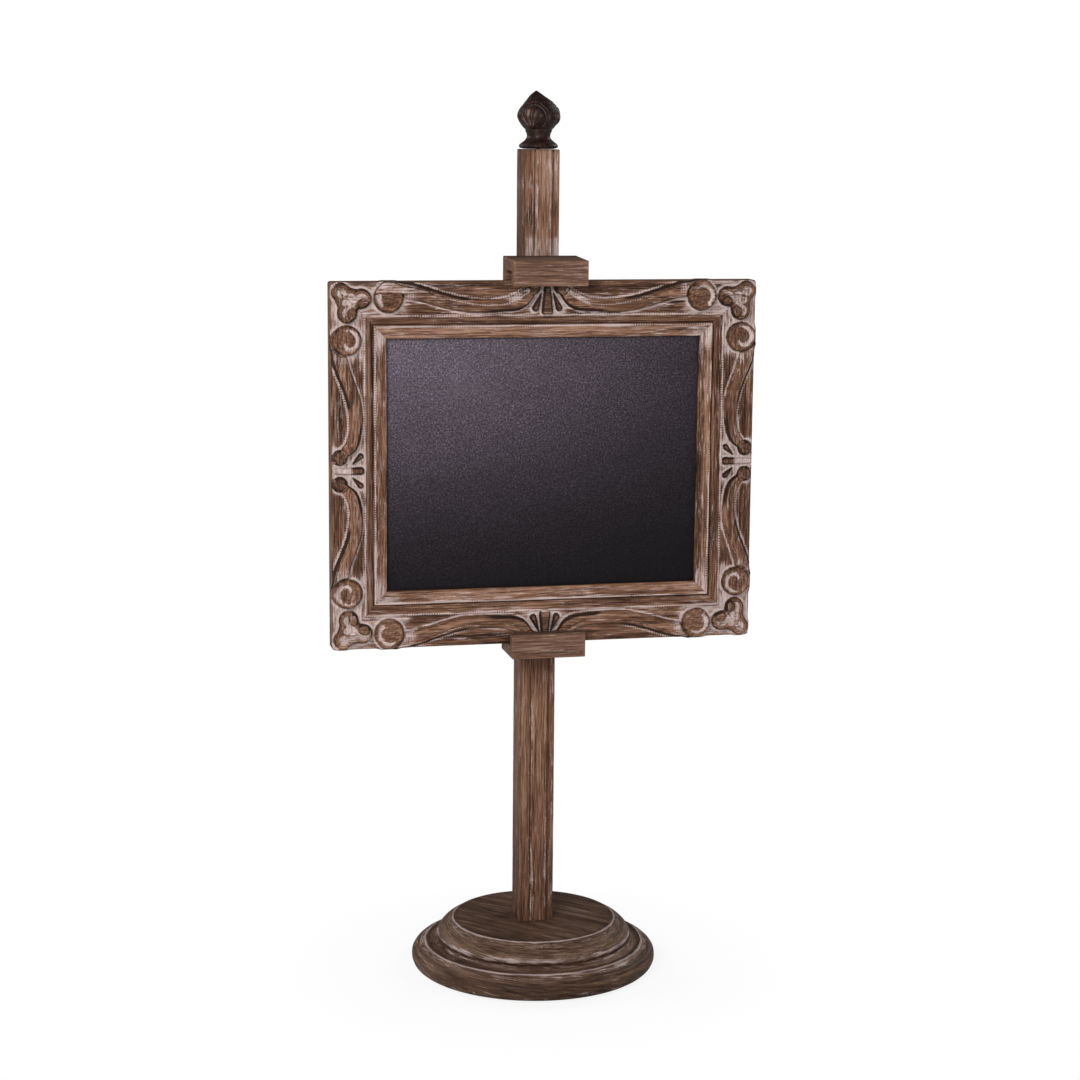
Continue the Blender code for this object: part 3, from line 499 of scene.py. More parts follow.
def stem(rail, d, v, c, disc):
    """The long S-shaped stem from a volute to the middle, with a seam near its outer side."""
    t = (d - STEM_START) / rail.reach
    outer = eased(STEM_OUTER, t, 0.035)
    inner = np.minimum(eased(STEM_INNER, t, 0.035), eased(STEM_CURL, c - rail.bead[0], 0.8))
    inside = np.minimum(np.minimum(v - outer, inner - v) * 0.95, c - 5.5)
    inside = np.where(d > 60.0, np.minimum(inside, -0.3 - disc.inside), -9.0)
    seam_at = outer + 4.3 + 2.6 * np.clip(t, 0.0, 1.0)
    crown = np.sin(np.clip((v - seam_at) / np.maximum(inner - seam_at, 1.0), 0.0, 1.0) * math.pi) ** 0.7
    seam = line(v, seam_at, 0.75) * rail.horizontal
    height = dome(inside, 2.8) * (5.0 + 1.6 * crown) - seam * 1.2 * smooth(inside, 0.5, 2.0)
    shoulder = band(t, 0.74, 0.90, 0.07) * smooth(seam_at + 2.5 - v, 0.0, 4.0)
    root = smooth(94.0 - d, 0.0, 16.0) * (0.35 + 0.35 * rail.teeth * rail.horizontal)
    fresh = 1.0 - rail.rubbed * smooth(t, 0.30, 0.50)
    wash = root + seam * 1.10 * rail.teeth * smooth(t, 0.10, 0.35) * fresh
    wash += shoulder * (0.45 + 0.4 * rail.teeth) * rail.horizontal * fresh
    # Dirt and painted shade on the stem's flanks: the outer flank near its root, the inner flank towards its
    # end.
    soil = rim_soil(v - outer, 2.6) * (0.15 + 0.75 * smooth(0.5 - t, 0.0, 0.12))
    soil += rim_soil(inner - v, 2.8) * (0.18 + 0.72 * smooth(t, 0.50, 0.66))
    return SimpleNamespace(inside=inside, height=height, wash=wash, soil=soil * (1.0 - 0.8 * shoulder),
                           outer=v < (outer + inner) / 2.0, fresh=fresh)


def bead(rail, u, c):
    """The round bead that ends a stem, beside the middle of the rail."""
    inside = rail.bead[2] - np.hypot(c - rail.bead[0], u - rail.bead[1])
    soil = rim_soil(inside, 2.5) * 0.50 + 0.60
    return SimpleNamespace(inside=inside, height=dome(inside, 6.6) * 7.0, wash=0.0 * inside, soil=soil)


def palmette(rail, u, c):
    """The fan at the middle of a rail: a trunk that widens inwards, with a lobe at each side of it."""
    if rail.horizontal:
        trunk = capsule(c, u, 0.0, 4.0, 3.3, 0.0, 31.0, 6.2)
        lobe = capsule(c, u, 6.6, 13.0, 0.7, 12.6, 28.0, 3.7)
        wash = 0.15 * smooth(u, 26.0, 33.0)
    else:
        trunk = capsule(c, u, 0.0, 4.0, 3.2, 0.0, 30.5, 4.2)
        lobe = capsule(c, u, 7.4, 22.4, 0.8, 15.4, 30.4, 3.2)
        wash = 0.85 * smooth(24.0 - u, 0.0, 6.0)
    inside = np.maximum(trunk, lobe)
    height = dome(inside, 2.4) * (3.6 + 1.2 * smooth(u, 6.0, 24.0))
    soil = (rim_soil(inside, 1.4) * 0.50 + 0.45) * (1.0 - wash)
    return SimpleNamespace(inside=inside, height=height, wash=wash, soil=soil)


def flap(rail, along, d, v, disc):
    """The stem's root where it runs over the top of one volute as a flat-edged tongue."""
    tail = capsule(d, v, 64.0, 7.0, 5.6, 101.0, 10.4, 1.5)
    inside = np.where(rail.flapped & (along < 0.0), np.minimum(12.3 - v, np.maximum(disc.inside, tail)), -9.0)
    height, soil = dome(inside, 1.6) * 2.2 + 5.6, line(inside, 0.2, 0.9) * 0.9
    return SimpleNamespace(inside=inside, height=height, wash=0.34 + 0.0 * inside, soil=soil)


def carve(rail, along, u):
    """The level of each point of a rail's field, in millimetres, and its wash, soil, glow (a painted
    highlight), tan and worked.
    """
    def waves(a, b, seed):
        return ripple(along * a, u * b, rail.seed + seed)

    end = np.where(along > 0.0, 1.0, -1.0)
    far = rail.half - np.abs(along)
    loose = smooth(far, 40.0, 60.0)
    d = far + waves(1.3, 1.1, 0.0) * 0.35 * loose
    v = u + waves(1.0, 1.7, 5.0) * 0.3 * smooth(u, 1.0, 5.0) * loose
    c = np.abs(along - rail.shift)
    rail.reach = rail.half - rail.shift * end - STEM_START
    rail.teeth = 0.5 + 0.5 * np.sin(TAU * along / TEETH + 1.6 * waves(0.7, 0.2, 2.0))

    disc = volute(rail, d - VOLUTE[0], v - VOLUTE[1], end * rail.up > 0.0)
    leaf = trefoil(far, u)
    long_stem = stem(rail, d, v, c, disc)
    knob = bead(rail, u, c)
    shapes = (disc, leaf, long_stem, knob, palmette(rail, u, c), flap(rail, along, d, v, disc))
    heights = np.array([np.where(shape.inside > 0.0, shape.height, 0.0) for shape in shapes])
    inside = np.max([shape.inside for shape in shapes], axis=0)
    height = heights.max(0)
    top = heights.argmax(0)[None]
    outside = np.clip(-inside, 0.0, 50.0)
    bare = inside <= 0.0

    # A bead or a disc is parted from the stem behind it by an undercut.
    for shape, wide, deep in ((knob, 0.6, 3.0), (disc, 0.7, 2.4)):
        part = line(shape.inside, -0.5, wide) * (shape.inside < 0.2) * smooth(height, 0.5, 3.0)
        height -= part * deep * (~rail.flapped | (along > 0.0) | (v > 14.0))

    ground = GROUND + waves(2.1, 2.7, 9.0) * 0.16
    ground -= line(outside, 0.0, 0.9) * bare * 0.9 + smooth(2.0 - u, 0.0, 2.0) * 0.5
    ridge = line(u, RIDGE_U + 0.2, 1.10)
    level = ground + height * (0.35 + 0.65 * smooth(np.abs(u), 0.0, 2.4))
    level = np.maximum(level, GROUND + (1.15 + 0.3 * rail.teeth) * ridge)

    washes = np.array([shape.wash for shape in shapes])
    soils = np.array([shape.soil for shape in shapes])
    corner = smooth(88.0 - d, 0.0, 14.0)
    middle = smooth(30.0 - c, 0.0, 10.0)
    hollow_wash = 0.54 * np.maximum(corner, middle)
    broad, narrow = np.exp(-outside / 4.2) * 0.46, np.exp(-outside / 2.6) * 0.22
    hollow_wash += np.where(long_stem.outer & (not rail.horizontal), broad, narrow)
    outer_line = (0.15 + rail.teeth * 1.10) * long_stem.fresh
    inner_line = 0.62 + 0.35 * rail.teeth
    hollow_wash += line(outside, 1.1, 1.1) * np.where(long_stem.outer, outer_line, inner_line) - 0.10
    wash = np.where(bare, hollow_wash, np.take_along_axis(washes, top, 0)[0])
    wash = np.maximum(wash, ridge * (0.35 + 0.85 * rail.teeth))
    edge_line = smooth(1.6 - u, 0.0, 1.2)
    uneven = 0.75 + 0.35 * waves(0.8, 1.4, 12.0)
    wash *= uneven * (1.0 - edge_line) * 1.12

    open_ground = bare * smooth(outside, 1.0, 4.0) * (1.0 - np.maximum(corner, middle))
    # glow is a painted highlight on the corner leaf's rolled rim, towards the outer corner.
    glow = line(leaf.inside, 2.0, 1.2) * (leaf.inside > 0.0) * smooth(30.0 - far - u, 0.0, 12.0)
    worked = np.max([smooth(shape.inside, -0.5, 1.5) for shape in (disc, leaf, knob)], axis=0)
    mottle = 0.9 * worked * waves(2.1, 3.4, 14.0)
    tan = rail.lift - 0.55 * open_ground + mottle

    # A thin painted shadow line along each outline, and darker along the outer edge.
    ground_soil = line(outside, 0.0, 0.4) * 0.25 + edge_line * 0.6
    soil = np.where(bare, ground_soil, np.take_along_axis(soils, top, 0)[0])
    patchy = 1.0 + 0.5 * worked * waves(1.3, 1.6, 20.0)
    soil = soil * (1.22 - 0.42 * worked) * patchy * (u < RIDGE_U - 0.4) * (1.0 - ridge)
    return level, wash, soil, glow, tan, worked


def rounded_corner(rail, far, along, u, radius=2.6):
    """Moves the points of a square outer corner on to an arc."""
    x, y = far - radius, u - radius
    cut = (x < 0.0) & (y < 0.0)
    pull = np.maximum(np.abs(x), np.abs(y)) / np.maximum(np.hypot(x, y), 1e-6)
    along = np.where(cut, np.sign(along) * (rail.half - radius - x * pull), along)
    return along, np.where(cut, radius + y * pull, u)


def carved_rail(name, cad_node, rail, origin, direction, inward):
    """One mitred rail, as a loft of its section from corner to corner."""
    width = MOULDING[-1][0]
    share = np.linspace(-1.0, 1.0, int(round(rail.half * 2.0 / SECTION_STEP)) + 1)
    wall = [(0.0, 0.0), (0.0, 5.0), (0.0, 10.0), (0.0, WALL_TOP)]
    lip = [(0.0, 14.0), (0.0, 16.0), (0.0, 18.0), (0.05, 19.2)]
    field = [(u, GROUND) for u in np.linspace(0.6, 36.0, 64)]
    rabbet = [(width, 9.6), (width, 7.8), (49.4, 7.8), (49.4, 4.0), (49.4, 0.0), (24.0, 0.0)]
    section = np.array(wall + lip + field + list(MOULDING) + rabbet)
    u = np.tile(section[:, 0], (len(share), 1))
    level = np.tile(section[:, 1], (len(share), 1))
    along = share[:, None] * (rail.half - u - HAIR)
    far = rail.half - np.abs(along)

    first, last = len(wall) + len(lip), len(wall) + len(lip) + len(field)
    wash, soil, glow, tan, worked = np.zeros((5, *u.shape))
    inner = np.s_[:, first:last]
    carved = carve(rail, along[inner], u[inner])
    for whole, part in zip((level, wash, soil, glow, tan, worked), carved):
        whole[inner] = part

    # The outer wall follows the carved edge: discs and lobes stand a little proud of it.
    rise = np.s_[:, len(wall):first]
    risen = (level[rise] - WALL_TOP) / (EDGE_TOP - WALL_TOP)
    level[rise] = WALL_TOP + (level[:, first:first + 1] - 0.9 - WALL_TOP) * risen
    swell = 1.5 * smooth(15.5 - np.abs(far - VOLUTE[0]), 0.0, 9.0)
    swell += 0.9 * smooth(9.0 - np.abs(far - 11.0), 0.0, 6.0)
    u = u - swell * smooth(level, 12.0, 15.0) * smooth(7.0 - u, 0.0, 7.0) * (u < 7.0)

    def waves(a, b, seed):
        return ripple(along * a, u * b, rail.seed + seed)

    # The moulding: a toothed white crest, a dark groove under it (dirt and painted shade), and streaky slopes
    # with painted light and shade for each rail.
    teeth = 0.5 + 0.5 * np.sin(TAU * along / TEETH + waves(0.4, 0.0, 4.0))
    fresh = 0.8 + 0.5 * waves(0.11, 0.0, 6.0)
    wash += line(u, CREST_U, 0.95) * (0.45 + 1.05 * teeth) * fresh * rail.crest(share[:, None])
    wash += band(u, 48.0, 58.6, 1.0) * 0.08 * (1.0 + waves(0.05, 0.3, 7.0))
    end_wash = np.where(along > 0.0, rail.pale_ends[1], rail.pale_ends[0])
    wash += band(u, 48.0, 58.0, 1.0) * smooth(84.0 - far, 0.0, 24.0) * end_wash
    # Painted light and shade on the slopes and ogee, set for each rail.
    tan -= smooth(u, 51.0, 57.0) * rail.slope_shade
    tan += band(u, 48.0, 57.5, 1.5) * rail.slope_tan + band(u, 37.0, 41.0, 2.0) * rail.ogee_tan
    streaks = 0.7 + 0.8 * waves(0.13, 0.2, 8.0)
    wash += band(u, 35.6, 38.4, 1.6) * rail.ogee_wash * streaks
    soil += line(u, 44.7, 0.8) * 0.80 * (0.8 + 0.4 * waves(0.2, 1.0, 0.0))
    soil += line(u, width + 0.2, 0.5) * 0.5
    # Painted shade on the outer wall below the carved edge.
    soil += (np.abs(u) < 3.0) * (level < 19.0) * 0.42
    level += ((u > 37.0) & (u < 58.5)) * waves(1.7, 3.0, 3.0) * 0.12

    along, u = rounded_corner(rail, far, along, u)
    origin, direction, inward = (np.array(row, float) for row in (origin, direction, inward))
    front = np.array((0.0, -1.0, 0.0))
    rings = origin + (along[..., None] * direction + u[..., None] * inward + level[..., None] * front) * MM
    bend = hollow(rings, 6)
    # Painted shade in the hollows; ridges take rubbed wear and glow's painted highlight.
    soil += smooth(bend, 0.10, 0.45) * 0.25 * (1.0 - smooth(wash, 0.2, 0.5))
    ridge = smooth(-bend, 0.08, 0.45) * 0.42 + glow * 0.8
    piece = loft(name, rings, wash=wash, tan=tan, worked=worked, soil=soil, ridge=ridge)
    place(piece, "framed_board", rail_wood[ACROSS if rail.horizontal else UPRIGHT], cad_node)


# `shift` moves the carving's middle, `up` and `side` turn its spirals, `flapped` lays a stem over a volute,
# `lift` lightens the wood and `rubbed` wears its pale lines; the rest colour the moulding.
# slope_tan, ogee_tan and slope_shade paint light and shade on each rail's moulding.
USUAL_RAIL = {
    "shift": 0.0, "up": 1.0, "side": 1.0, "flapped": np.array(False), "lift": 0.0, "rubbed": 0.0,
    "pale_ends": (0.42, 0.42), "slope_shade": 0.0, "crest": lambda share: 1.0,
}


def rail_plan(half, horizontal, seed, **features):
    bead_spot = (14.6, 6.2, 7.7) if horizontal else (14.0, 8.7, 8.3)
    return SimpleNamespace(half=half, horizontal=horizontal, seed=seed, bead=bead_spot,
                           **{**USUAL_RAIL, **features})


def build_rails():
    top_low, top_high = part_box("frame_rail_top")
    bottom_low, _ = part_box("frame_rail_bottom")
    middle_x = (top_low.x + top_high.x) / 2.0
    middle_z = (bottom_low.z + top_high.z) / 2.0
    half_x = (top_high.x - top_low.x) / 2.0 / MM
    half_z = (top_high.z - bottom_low.z) / 2.0 / MM
    back, left, right = top_high.y, middle_x - half_x * MM, middle_x + half_x * MM

    top = rail_plan(half_x, True, 1.0, slope_tan=0.6, ogee_tan=0.2, ogee_wash=0.12,
                    flapped=np.array(True), pale_ends=(0.1, 0.42),
                    crest=lambda share: 1.25 - 0.5 * smooth(share, 0.3, 0.8))
    right_side = rail_plan(half_z, False, 2.0, slope_tan=1.0, ogee_tan=-0.3, ogee_wash=0.0,
                           shift=1.0, up=-1.0, slope_shade=2.0,
                           crest=lambda share: 0.6 + 0.8 * smooth(share, -0.1, 0.4))
    bottom = rail_plan(half_x, True, 3.0, slope_tan=0.6, ogee_tan=0.2, ogee_wash=0.12,
                       lift=0.4, rubbed=0.75, pale_ends=(0.0, 0.3))
    left_side = rail_plan(half_z, False, 4.0, slope_tan=0.0, ogee_tan=0.9, ogee_wash=0.10,
                          shift=-2.8, side=-1.0, lift=0.2)
    for side, *plan in (
            ("top", top, (middle_x, back, top_high.z), (1, 0, 0), (0, 0, -1)),
            ("right", right_side, (right, back, middle_z), (0, 0, -1), (-1, 0, 0)),
            ("bottom", bottom, (middle_x, back, bottom_low.z), (-1, 0, 0), (0, 0, 1)),
            ("left", left_side, (left, back, middle_z), (0, 0, 1), (1, 0, 0))):
        carved_rail("carved_rail_" + side, "frame_rail_" + side, *plan)


build_rails()


# ---- post, finial and base

def refined_profile(points, step):
    """Profile points in millimetres, filled in and eased so that they turn smoothly."""
    points = np.array(points, float)
    lengths = np.hypot(*np.diff(points, axis=0).T)
    at = np.concatenate(([0.0], np.cumsum(lengths)))
    fine = np.linspace(0.0, at[-1], int(at[-1] / step) + 2)
    made = np.stack([np.interp(fine, at, points[:, axis]) for axis in (0, 1)], -1)
    for _ in range(3):
        made[1:-1] = made[1:-1] * 0.5 + (made[:-2] + made[2:]) * 0.25
    return made


def spin(profile, centre_x, segments, sway):
    """Rings of a turned shape round an upright axis, top to bottom; `sway` adds the hand work."""
    angle = np.linspace(0.0, TAU, segments, endpoint=False)[None, :]
    radius, height = sway(profile[:, :1] * np.ones(segments), profile[:, 1:] * np.ones(segments), angle)
    return np.stack((centre_x + radius * np.cos(angle) * MM, radius * np.sin(angle) * MM, height * MM), -1)


def carve_out(piece, cutter):
    """Takes one object's volume out of another's and removes the cutter."""
    modifier = piece.modifiers.new("cut", "BOOLEAN")
    modifier.operation = "DIFFERENCE"
    modifier.solver = "EXACT"
    modifier.object = cutter
    bpy.context.view_layer.update()
    solid = bpy.data.meshes.new_from_object(piece.evaluated_get(bpy.context.evaluated_depsgraph_get()))
    piece.modifiers.clear()
    piece.data = solid
    bpy.data.objects.remove(cutter)


def turned_disc(name, cad_node, outline, material, segments, seed, rim, bands):
    """A turned disc. `rim` places its pale line, wash with a painted highlight; `bands` are (height, spread,
    least radius, wash).
    """
    low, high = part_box(cad_node)
    centre_x = (low.x + high.x) / 2.0

    def hand_rubbed(radius, height, angle):
        push = ripple(angle * 21.0, height * 1.2, seed) * 0.16 * smooth(radius, 40.0, 90.0)
        return radius + push, height + push * 0.3

    rings = spin(refined_profile(outline, 0.8), centre_x, segments, hand_rubbed)
    bend = hollow(rings, 7)
    radius = np.hypot(rings[..., 0] - centre_x, rings[..., 1]) / MM
    angle = np.arctan2(rings[..., 1], rings[..., 0] - centre_x)
    height = rings[..., 2] / MM
    uneven = 0.75 + 0.5 * ripple(angle * 37.0, height * 0.3, seed)
    # The pale rim line: wash and a painted highlight.
    wash = np.exp(-((radius - rim[0]) / 1.05) ** 2 - ((height - rim[1]) / 1.25) ** 2) * (1.35 + 0.2 * uneven)
    # Painted shade in the hollows.
    soil = smooth(bend, 0.05, 0.35) * 0.55
    for middle, wide, least, amount in bands:
        wash += line(height, middle, wide) * (radius > least) * uneven * amount
    # Painted highlights: lighter just below the rim and along the bulge near 38.5 mm.
    tan = 0.4 * smooth(rim[1] - height, 0.0, 3.0) * (1.0 - smooth(bend, 0.0, 0.3))
    tan += 0.9 * line(height, 38.5, 4.0)
    # Painted shade just inside the rim.
    dark = line(radius, rim[0] - 4.0, 3.0) * (height > rim[1] - 1.5) * 0.50
    ridge = smooth(-bend, 0.10, 0.5) * 0.25
    piece = loft(name, rings, wash=wash, tan=tan, soil=soil + dark, ridge=ridge)
    place(piece, "stand", material, cad_node)
    return piece


def build_base():
    """The two discs, from outlines of radius and height in millimetres."""
    upper = ((0.4, 55.4), (60.0, 55.3), (84.0, 54.9), (88.0, 54.6), (89.6, 54.7), (90.4, 53.9),
             (91.6, 52.6), (94.6, 51.3), (98.0, 49.2), (101.3, 46.4), (104.0, 43.3), (105.9, 40.6),
             (107.0, 38.2), (107.1, 36.6), (106.6, 35.3), (106.1, 34.4), (105.9, 33.9), (105.7, 33.3),
             (60.0, 33.3), (0.4, 33.3))
    lower = ((0.4, 33.0), (100.0, 33.0), (104.8, 32.95), (106.2, 32.7), (108.0, 31.8), (110.6, 30.2),
             (113.6, 29.1), (117.4, 28.9), (119.6, 29.3), (120.9, 28.6), (121.4, 27.4), (123.8, 26.3),
             (128.6, 24.1), (132.2, 21.0), (134.2, 17.5), (134.8, 14.0), (134.5, 10.0), (132.9, 5.8),
             (129.7, 3.0), (125.0, 1.9), (60.0, 1.8), (0.4, 1.8))
    top = turned_disc("turned_base_top", "base_upper_disc", upper, base_wood, 220, 1.0, (89.6, 54.5),
                      ((38.2, 3.0, 100.0, 0.98), (51.6, 1.7, 91.0, 0.46)))
    turned_disc("turned_base_foot", "base_lower_disc", lower, foot_wood, 240, 5.0, (120.2, 28.9),
                ((31.8, 1.1, 104.8, 0.45), (26.2, 1.6, 121.5, 0.45), (7.0, 4.0, 120.0, 0.25)))

    low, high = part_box("post")
    gap, tall = 0.4 * MM, 20.0 * MM
    bpy.ops.mesh.primitive_cube_add(size=1.0)
    mortise = bpy.context.object
    mortise.scale = (high.x - low.x + gap, high.y - low.y + gap, tall)
    mortise.location = (0.0, 0.0, low.z - gap / 2.0 + tall / 2.0)
    carve_out(top, mortise)


def build_post():
    """The square post with two flutes of unlike width along each face."""
    low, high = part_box("post")
    half = (high.x - low.x) / 2.0 / MM
    bottom, head = low.z / MM, high.z / MM
    corner, fine, rise = 1.1, 0.45, 3.2
    narrow_at, broad_at = -7.4, 12.0
    across = np.arange(-half + corner, half - corner + fine / 2.0, fine)
    depth = 0.18 * line(across, narrow_at, 2.6) + 0.25 * line(across, broad_at, 3.2)
    for at, wide, deep in ((narrow_at, 0.7, 1.2), (broad_at, 1.5, 1.7)):
        depth += deep * np.sqrt(np.clip(1.0 - ((across - at) / wide) ** 2, 0.0, 1.0))
    bends = np.radians(90.0) * np.arange(1, 5) / 5.0
    face_x = np.concatenate((across, half - corner + corner * np.sin(bends)))
    face_y = np.concatenate((depth - half, corner - half - corner * np.cos(bends)))
    outline = np.concatenate([
        np.stack((face_x * cos - face_y * sin, face_x * sin + face_y * cos), -1)
        for cos, sin in ((1.0, 0.0), (0.0, 1.0), (-1.0, 0.0), (0.0, -1.0))
    ])
    heights = np.append(np.arange(bottom, head - 0.9, rise), (head - 0.8, head))[:, None]
    around = np.arange(len(outline))[None, :]
    outward = outline / np.linalg.norm(outline, axis=1, keepdims=True)
    push = ripple(heights * 0.55, around * 0.30, 3.0) * 0.13 - 0.1
    plan = outline * np.where(heights > head - 0.2, 0.975, 1.0)[..., None] + outward * push[..., None]
    rings = np.concatenate((plan, np.broadcast_to(heights[..., None], (*push.shape, 1))), -1) * MM

    bend = hollow(rings, 5)
    offset = np.tile(np.concatenate((across, np.full(len(bends), half))), 4)[None, :]
    uneven = 0.5 + 0.5 * ripple(heights * 0.33, around * 0.21, 8.0)
    patches = 0.5 + 0.5 * ripple(heights * 0.11, offset * 0.6, 4.0)
    # Dark flutes: dirt and painted shade in the grooves.
    flute_soil = 0.85 * line(offset, narrow_at, 0.7) + 0.75 * line(offset, broad_at + 0.4, 1.3)
    low_shade = smooth(300.0 - heights, 0.0, 240.0)
    front = np.repeat((1.0, 0.0, 0.0, 0.0), len(face_x))[None, :]
    sides = np.repeat((0.0, 1.0, 0.0, 1.0), len(face_x))[None, :]
    wash = line(offset, 9.4, 1.5) * 0.42 * patches + line(offset, -5.4, 2.2) * 0.50 * patches
    wash += line(offset, 16.0, 2.0) * 0.18 + smooth(-bend, 0.05, 0.3) * 0.10
    wash = (wash + 0.16 * smooth(uneven, 0.5, 0.95)) * (1.0 - 0.5 * sides)
    wash += band(heights, 768.0, 801.0, 7.0) * 0.36 * front
    wash += band(heights, 858.0, 880.0, 12.0) * 0.22 * patches
    wash += band(heights, 792.0, 864.0, 14.0) * line(offset, -11.5, 3.0) * 0.24 * front
    # Painted shade on the side faces and lower down, painted light on the upper front, and a darker band
    # across the front near 832 mm.
    tan = 0.05 - 0.25 * sides - 0.7 * low_shade + 0.4 * ripple(heights * 0.09, offset * 0.3, 9.0)
    tan += smooth(heights, 740.0, 800.0) * (0.5 * front - sides)
    tan -= 0.9 * line(heights, 832.0, 16.0) * front
    soil = flute_soil * (0.55 + 0.5 * uneven) + smooth(bend, 0.2, 0.5) * 0.2 + 0.5 * (heights > head - 2.0)
    ridge = smooth(-bend, 0.06, 0.35) * 0.35
    piece = loft("fluted_post", rings, wash=wash, tan=tan, soil=soil, ridge=ridge)
    place(piece, "stand", post_wood, "post")


def build_finial():
    """A leaning bud, carved in petals, on a turned neck."""
    outline = ((0.3, 956.0), (1.6, 955.4), (3.6, 954.0), (6.2, 952.2), (8.9, 950.2), (12.0, 947.8),
               (14.6, 945.4), (16.9, 943.0), (18.8, 940.6), (20.5, 938.2), (21.8, 935.6), (22.7, 931.9),
               (22.9, 929.0), (22.2, 925.8), (20.9, 923.2), (19.2, 920.8), (17.0, 918.4), (14.7, 916.4),
               (13.8, 915.6), (14.2, 914.8), (13.9, 913.9), (12.9, 912.4), (12.3, 910.0), (12.4, 908.2),
               (13.2, 906.4), (15.0, 904.4), (17.6, 902.4), (19.7, 900.8), (20.6, 899.3), (20.6, 897.9),
               (19.5, 896.7), (16.4, 896.0), (13.0, 895.8), (0.3, 895.8))
    # Height, and how far the axis lies to the right there.
    lean_x = ((895.0, 0.0), (917.0, 0.2), (926.0, 0.2), (931.0, -0.4), (941.0, 0.4), (945.8, -0.1),
              (950.5, -1.9), (957.0, -2.9))
    petals, facing, bud_radius = 3, -2.12, 21.0

    def shell(height, angle):
        """A petal's relief with ribs that fan out inside rolled edges, and painted highlights on the rib
        crests.
        """
        share = math.pi / petals
        across = (np.mod(angle - facing + share, 2.0 * share) - share) * bud_radius
        far = np.hypot(across - 1.0, height - 927.0)
        fan = np.arctan2(across + 2.5, height - 913.0)
        inside = smooth(13.8 - far, 0.0, 2.0)
        rib = np.abs(np.cos(fan * 7.5 + 0.4))
        ribs = rib ** 0.7 * smooth(height, 919.0, 924.0)
        edges = sum(line(far, at, 1.0) * deep for at, deep in ((15.4, 0.45), (18.8, 0.35)))
        grooves = sum(line(far, at, 0.6) for at in (13.7, 17.1))
        rising = smooth(height - 921.0 + across * 0.6, -6.0, 6.0)
        depth = inside * (0.25 + ribs) + (edges - grooves * 0.45) * rising
        # Painted highlights on the rib crests, towards the front left.
        glint = inside * smooth(rib, 0.72, 0.98) * band(height, 922.0, 934.0, 4.0)
        return depth, glint * smooth(-across, -7.0, 3.0)

    def sway(radius, height, angle):
        bud = smooth(height, 916.5, 920.5) * smooth(955.5 - height, 0.0, 10.0)
        dents = ripple(angle * 11.0, height * 1.2, 4.0) * 0.12
        dents += smooth(904.0 - height, 0.0, 2.0) * ripple(angle * 40.0, height, 2.0) * 0.16
        return radius + (shell(height, angle)[0] - 0.95) * bud + dents, height

    profile = refined_profile(outline, 0.42)
    rings = spin(profile, 0.0, 220, sway)
    rings[..., 0] += np.interp(profile[:, 1], *zip(*lean_x))[:, None] * MM
    bend = hollow(rings, 6)
    _, glint = shell(rings[..., 2] / MM, np.linspace(0.0, TAU, rings.shape[1], endpoint=False)[None, :])
    # Painted shade in the hollows; ridges take wear and the painted highlights.
    piece = loft("bud_finial", rings, soil=smooth(bend, 0.05, 0.30) * 0.8,
                 ridge=smooth(-bend, 0.06, 0.26) * 0.35 + glint)
    place(piece, "stand", finial_wood, "finial")


build_base()
build_post()
build_finial()


# ---- blocks: clips and the yoke

def worn_block(name, cad_node, body, seed, along=ACROSS):
    """The CAD block with rounded arrises, a fine mesh and rubbed edges."""
    radius, step = 0.7 * MM, 4.0 * MM
    build = bmesh.new()
    build.from_mesh(nodes[cad_node].data)
    bmesh.ops.remove_doubles(build, verts=build.verts, dist=1e-6)
    bmesh.ops.dissolve_limit(build, angle_limit=math.radians(2.0), verts=build.verts, edges=build.edges)
    sharp = [edge for edge in build.edges if edge.is_manifold and edge.calc_face_angle() > math.radians(25.0)]
    arrises = np.array([[tuple(vert.co) for vert in edge.verts] for edge in sharp if edge.is_convex])
    bmesh.ops.bevel(build, geom=sharp, offset=radius, segments=3, profile=0.5, affect="EDGES",
                    clamp_overlap=True)
    bmesh.ops.triangulate(build, faces=build.faces)
    for _ in range(7):
        long_edges = [edge for edge in build.edges if edge.calc_length() > step]
        if not long_edges:
            break
        bmesh.ops.subdivide_edges(build, edges=long_edges, cuts=1)
        bmesh.ops.triangulate(build, faces=build.faces)
    build.normal_update()
    mesh = bpy.data.meshes.new(name)
    build.to_mesh(mesh)
    build.free()
    mesh.shade_smooth()
    mesh.set_sharp_from_angle(angle=math.radians(38.0))

    points = np.zeros(len(mesh.vertices) * 3)
    mesh.vertices.foreach_get("co", points)
    points = points.reshape(-1, 3)
    near = np.full(len(points), 1.0)
    for one, two in arrises:
        run = two - one
        t = np.clip((points - one) @ run / (run @ run), 0.0, 1.0)
        near = np.minimum(near, np.linalg.norm(points - one - t[:, None] * run, axis=1))
    edge = np.exp(-near / (1.1 * MM))
    x, y, z = points.T / MM
    uneven = 0.5 + 0.5 * ripple(x * 0.7, z * 1.4 + y, seed)
    wash = edge * 0.15 * uneven + smooth(uneven, 0.5, 1.0) * 0.20
    edge_soil = 0.3 * line(near, 1.6 * MM, 1.2 * MM) * uneven
    # Painted shade on the block's top face.
    top_soil = 0.60 * smooth(z, z.max() - 2.0, z.max() - 0.6)
    set_values(mesh, wash=wash, ridge=edge * 0.30, soil=edge_soil + top_soil)
    place(linked(name, mesh), body, clip_wood[along], cad_node)


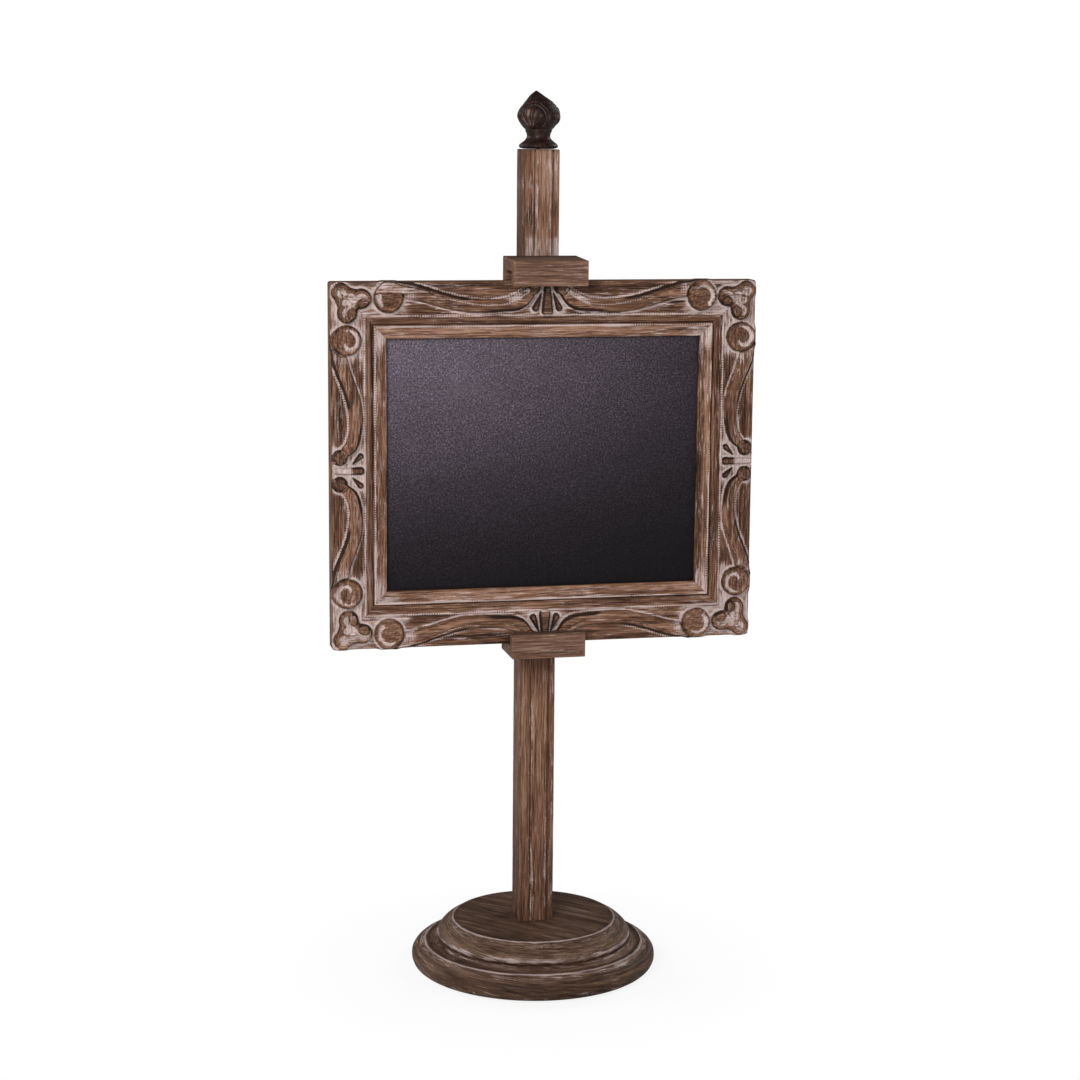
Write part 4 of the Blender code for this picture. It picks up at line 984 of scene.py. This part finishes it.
worn_block("slotted_clip_lower", "lower_clip", "stand", 1.0)
worn_block("slotted_clip_upper", "upper_clip", "top_clamp", 2.0)
worn_block("yoke_rear_bar", "yoke_bar", "top_clamp", 3.0)
worn_block("yoke_left_cheek", "yoke_cheek_left", "top_clamp", 4.0, DEPTHWISE)
worn_block("yoke_right_cheek", "yoke_cheek_right", "top_clamp", 5.0, DEPTHWISE)

# The other pieces keep their shapes.
for name, cad in nodes.items():
    if not cad.hide_render and slots[name] in kept:
        for holder in cad.material_slots:
            holder.material = kept[slots[name]]


# ---- floor, light and camera

def build_floor():
    """A pale floor, lit near the base and seen as pure white further out."""
    mesh = bpy.data.meshes.new("studio_floor")
    build = bmesh.new()
    bmesh.ops.create_circle(build, cap_ends=True, radius=4.0, segments=96)
    build.to_mesh(mesh)
    build.free()
    material, tree, shader, where = start("studio_floor", specular=0.0)
    faint = noise(tree, where, (6.0, 6.0, 6.0), 2.0)
    colour = tones(tree, faint, (0.3, (0.86, 0.86, 0.86)), (0.7, (0.89, 0.89, 0.89)))
    tree.links.new(colour, shader.inputs["Base Color"])
    shader.inputs["Roughness"].default_value = 0.9
    distance = node(tree, "VectorMath", {0: where}, operation="LENGTH").outputs["Value"]
    away = calc(tree, "MULTIPLY_ADD", spread(tree, distance, 0.12, 0.30), 0.14, 0.86)
    seen = node(tree, "LightPath").outputs["Is Camera Ray"]
    glow = node(tree, "Emission", {"Color": (1.0, 1.0, 1.0, 1.0), "Strength": 1.0})
    share = calc(tree, "MULTIPLY", away, seen)
    both = node(tree, "MixShader", {0: share, 1: shader.outputs[0], 2: glow.outputs[0]})
    tree.links.new(both.outputs[0], tree.nodes["Material Output"].inputs["Surface"])
    mesh.materials.append(material)
    linked("studio_floor", mesh)


def area_light(name, place_at, power, aim=0.5, size=(1.4, 1.2)):
    """A soft light aimed at a height on the object's axis."""
    data = bpy.data.lights.new(name, "AREA")
    data.shape = "RECTANGLE"
    data.size, data.size_y = size
    data.energy = power
    lamp = linked(name, data)
    lamp.location = place_at
    lamp.rotation_euler = (Vector((0.0, 0.0, aim)) - lamp.location).to_track_quat("-Z", "Y").to_euler()


def build_world(ambient):
    """White all round, which lights the object only faintly."""
    scene = bpy.context.scene
    world = bpy.data.worlds.new("studio")
    world.use_nodes = True
    scene.world = world
    tree = world.node_tree
    seen = node(tree, "LightPath").outputs["Is Camera Ray"]
    strength = calc(tree, "MULTIPLY_ADD", seen, 1.0 - ambient, ambient)
    background = tree.nodes["Background"]
    background.inputs["Color"].default_value = (1.0, 1.0, 1.0, 1.0)
    tree.links.new(strength, background.inputs["Strength"])
    scene.view_settings.view_transform = "Standard"
    scene.view_settings.look = "None"


def build_camera():
    """Lens, place and aim worked out from the straight edges of the post, clips and frame."""
    turn, dip, roll = 0.22416, 0.16897, 0.00853
    forward = Vector((math.sin(turn) * math.cos(dip), math.cos(turn) * math.cos(dip), -math.sin(dip)))
    right = Vector((math.cos(turn), -math.sin(turn), 0.0))
    up = right.cross(forward)
    right, up = right * math.cos(roll) + up * math.sin(roll), up * math.cos(roll) - right * math.sin(roll)
    data = bpy.data.cameras.new("camera")
    data.sensor_width = 36.0
    data.lens = 79.585
    camera = linked("camera", data)
    matrix = Matrix((right, up, -forward)).transposed().to_4x4()
    matrix.translation = Vector((-0.56116, -2.48487, 0.91259))
    camera.matrix_world = matrix
    bpy.context.scene.camera = camera


build_floor()
build_world(0.15)
build_camera()
area_light("key_light", (-1.5, -2.4, 1.8), 84.0, 0.68)
area_light("fill_light", (2.1, -2.2, 1.2), 17.0, 0.6, (1.4, 1.6))
area_light("back_light_left", (-2.4, 1.9, 1.9), 36.0)
area_light("back_light_right", (2.6, 1.5, 1.9), 36.0)
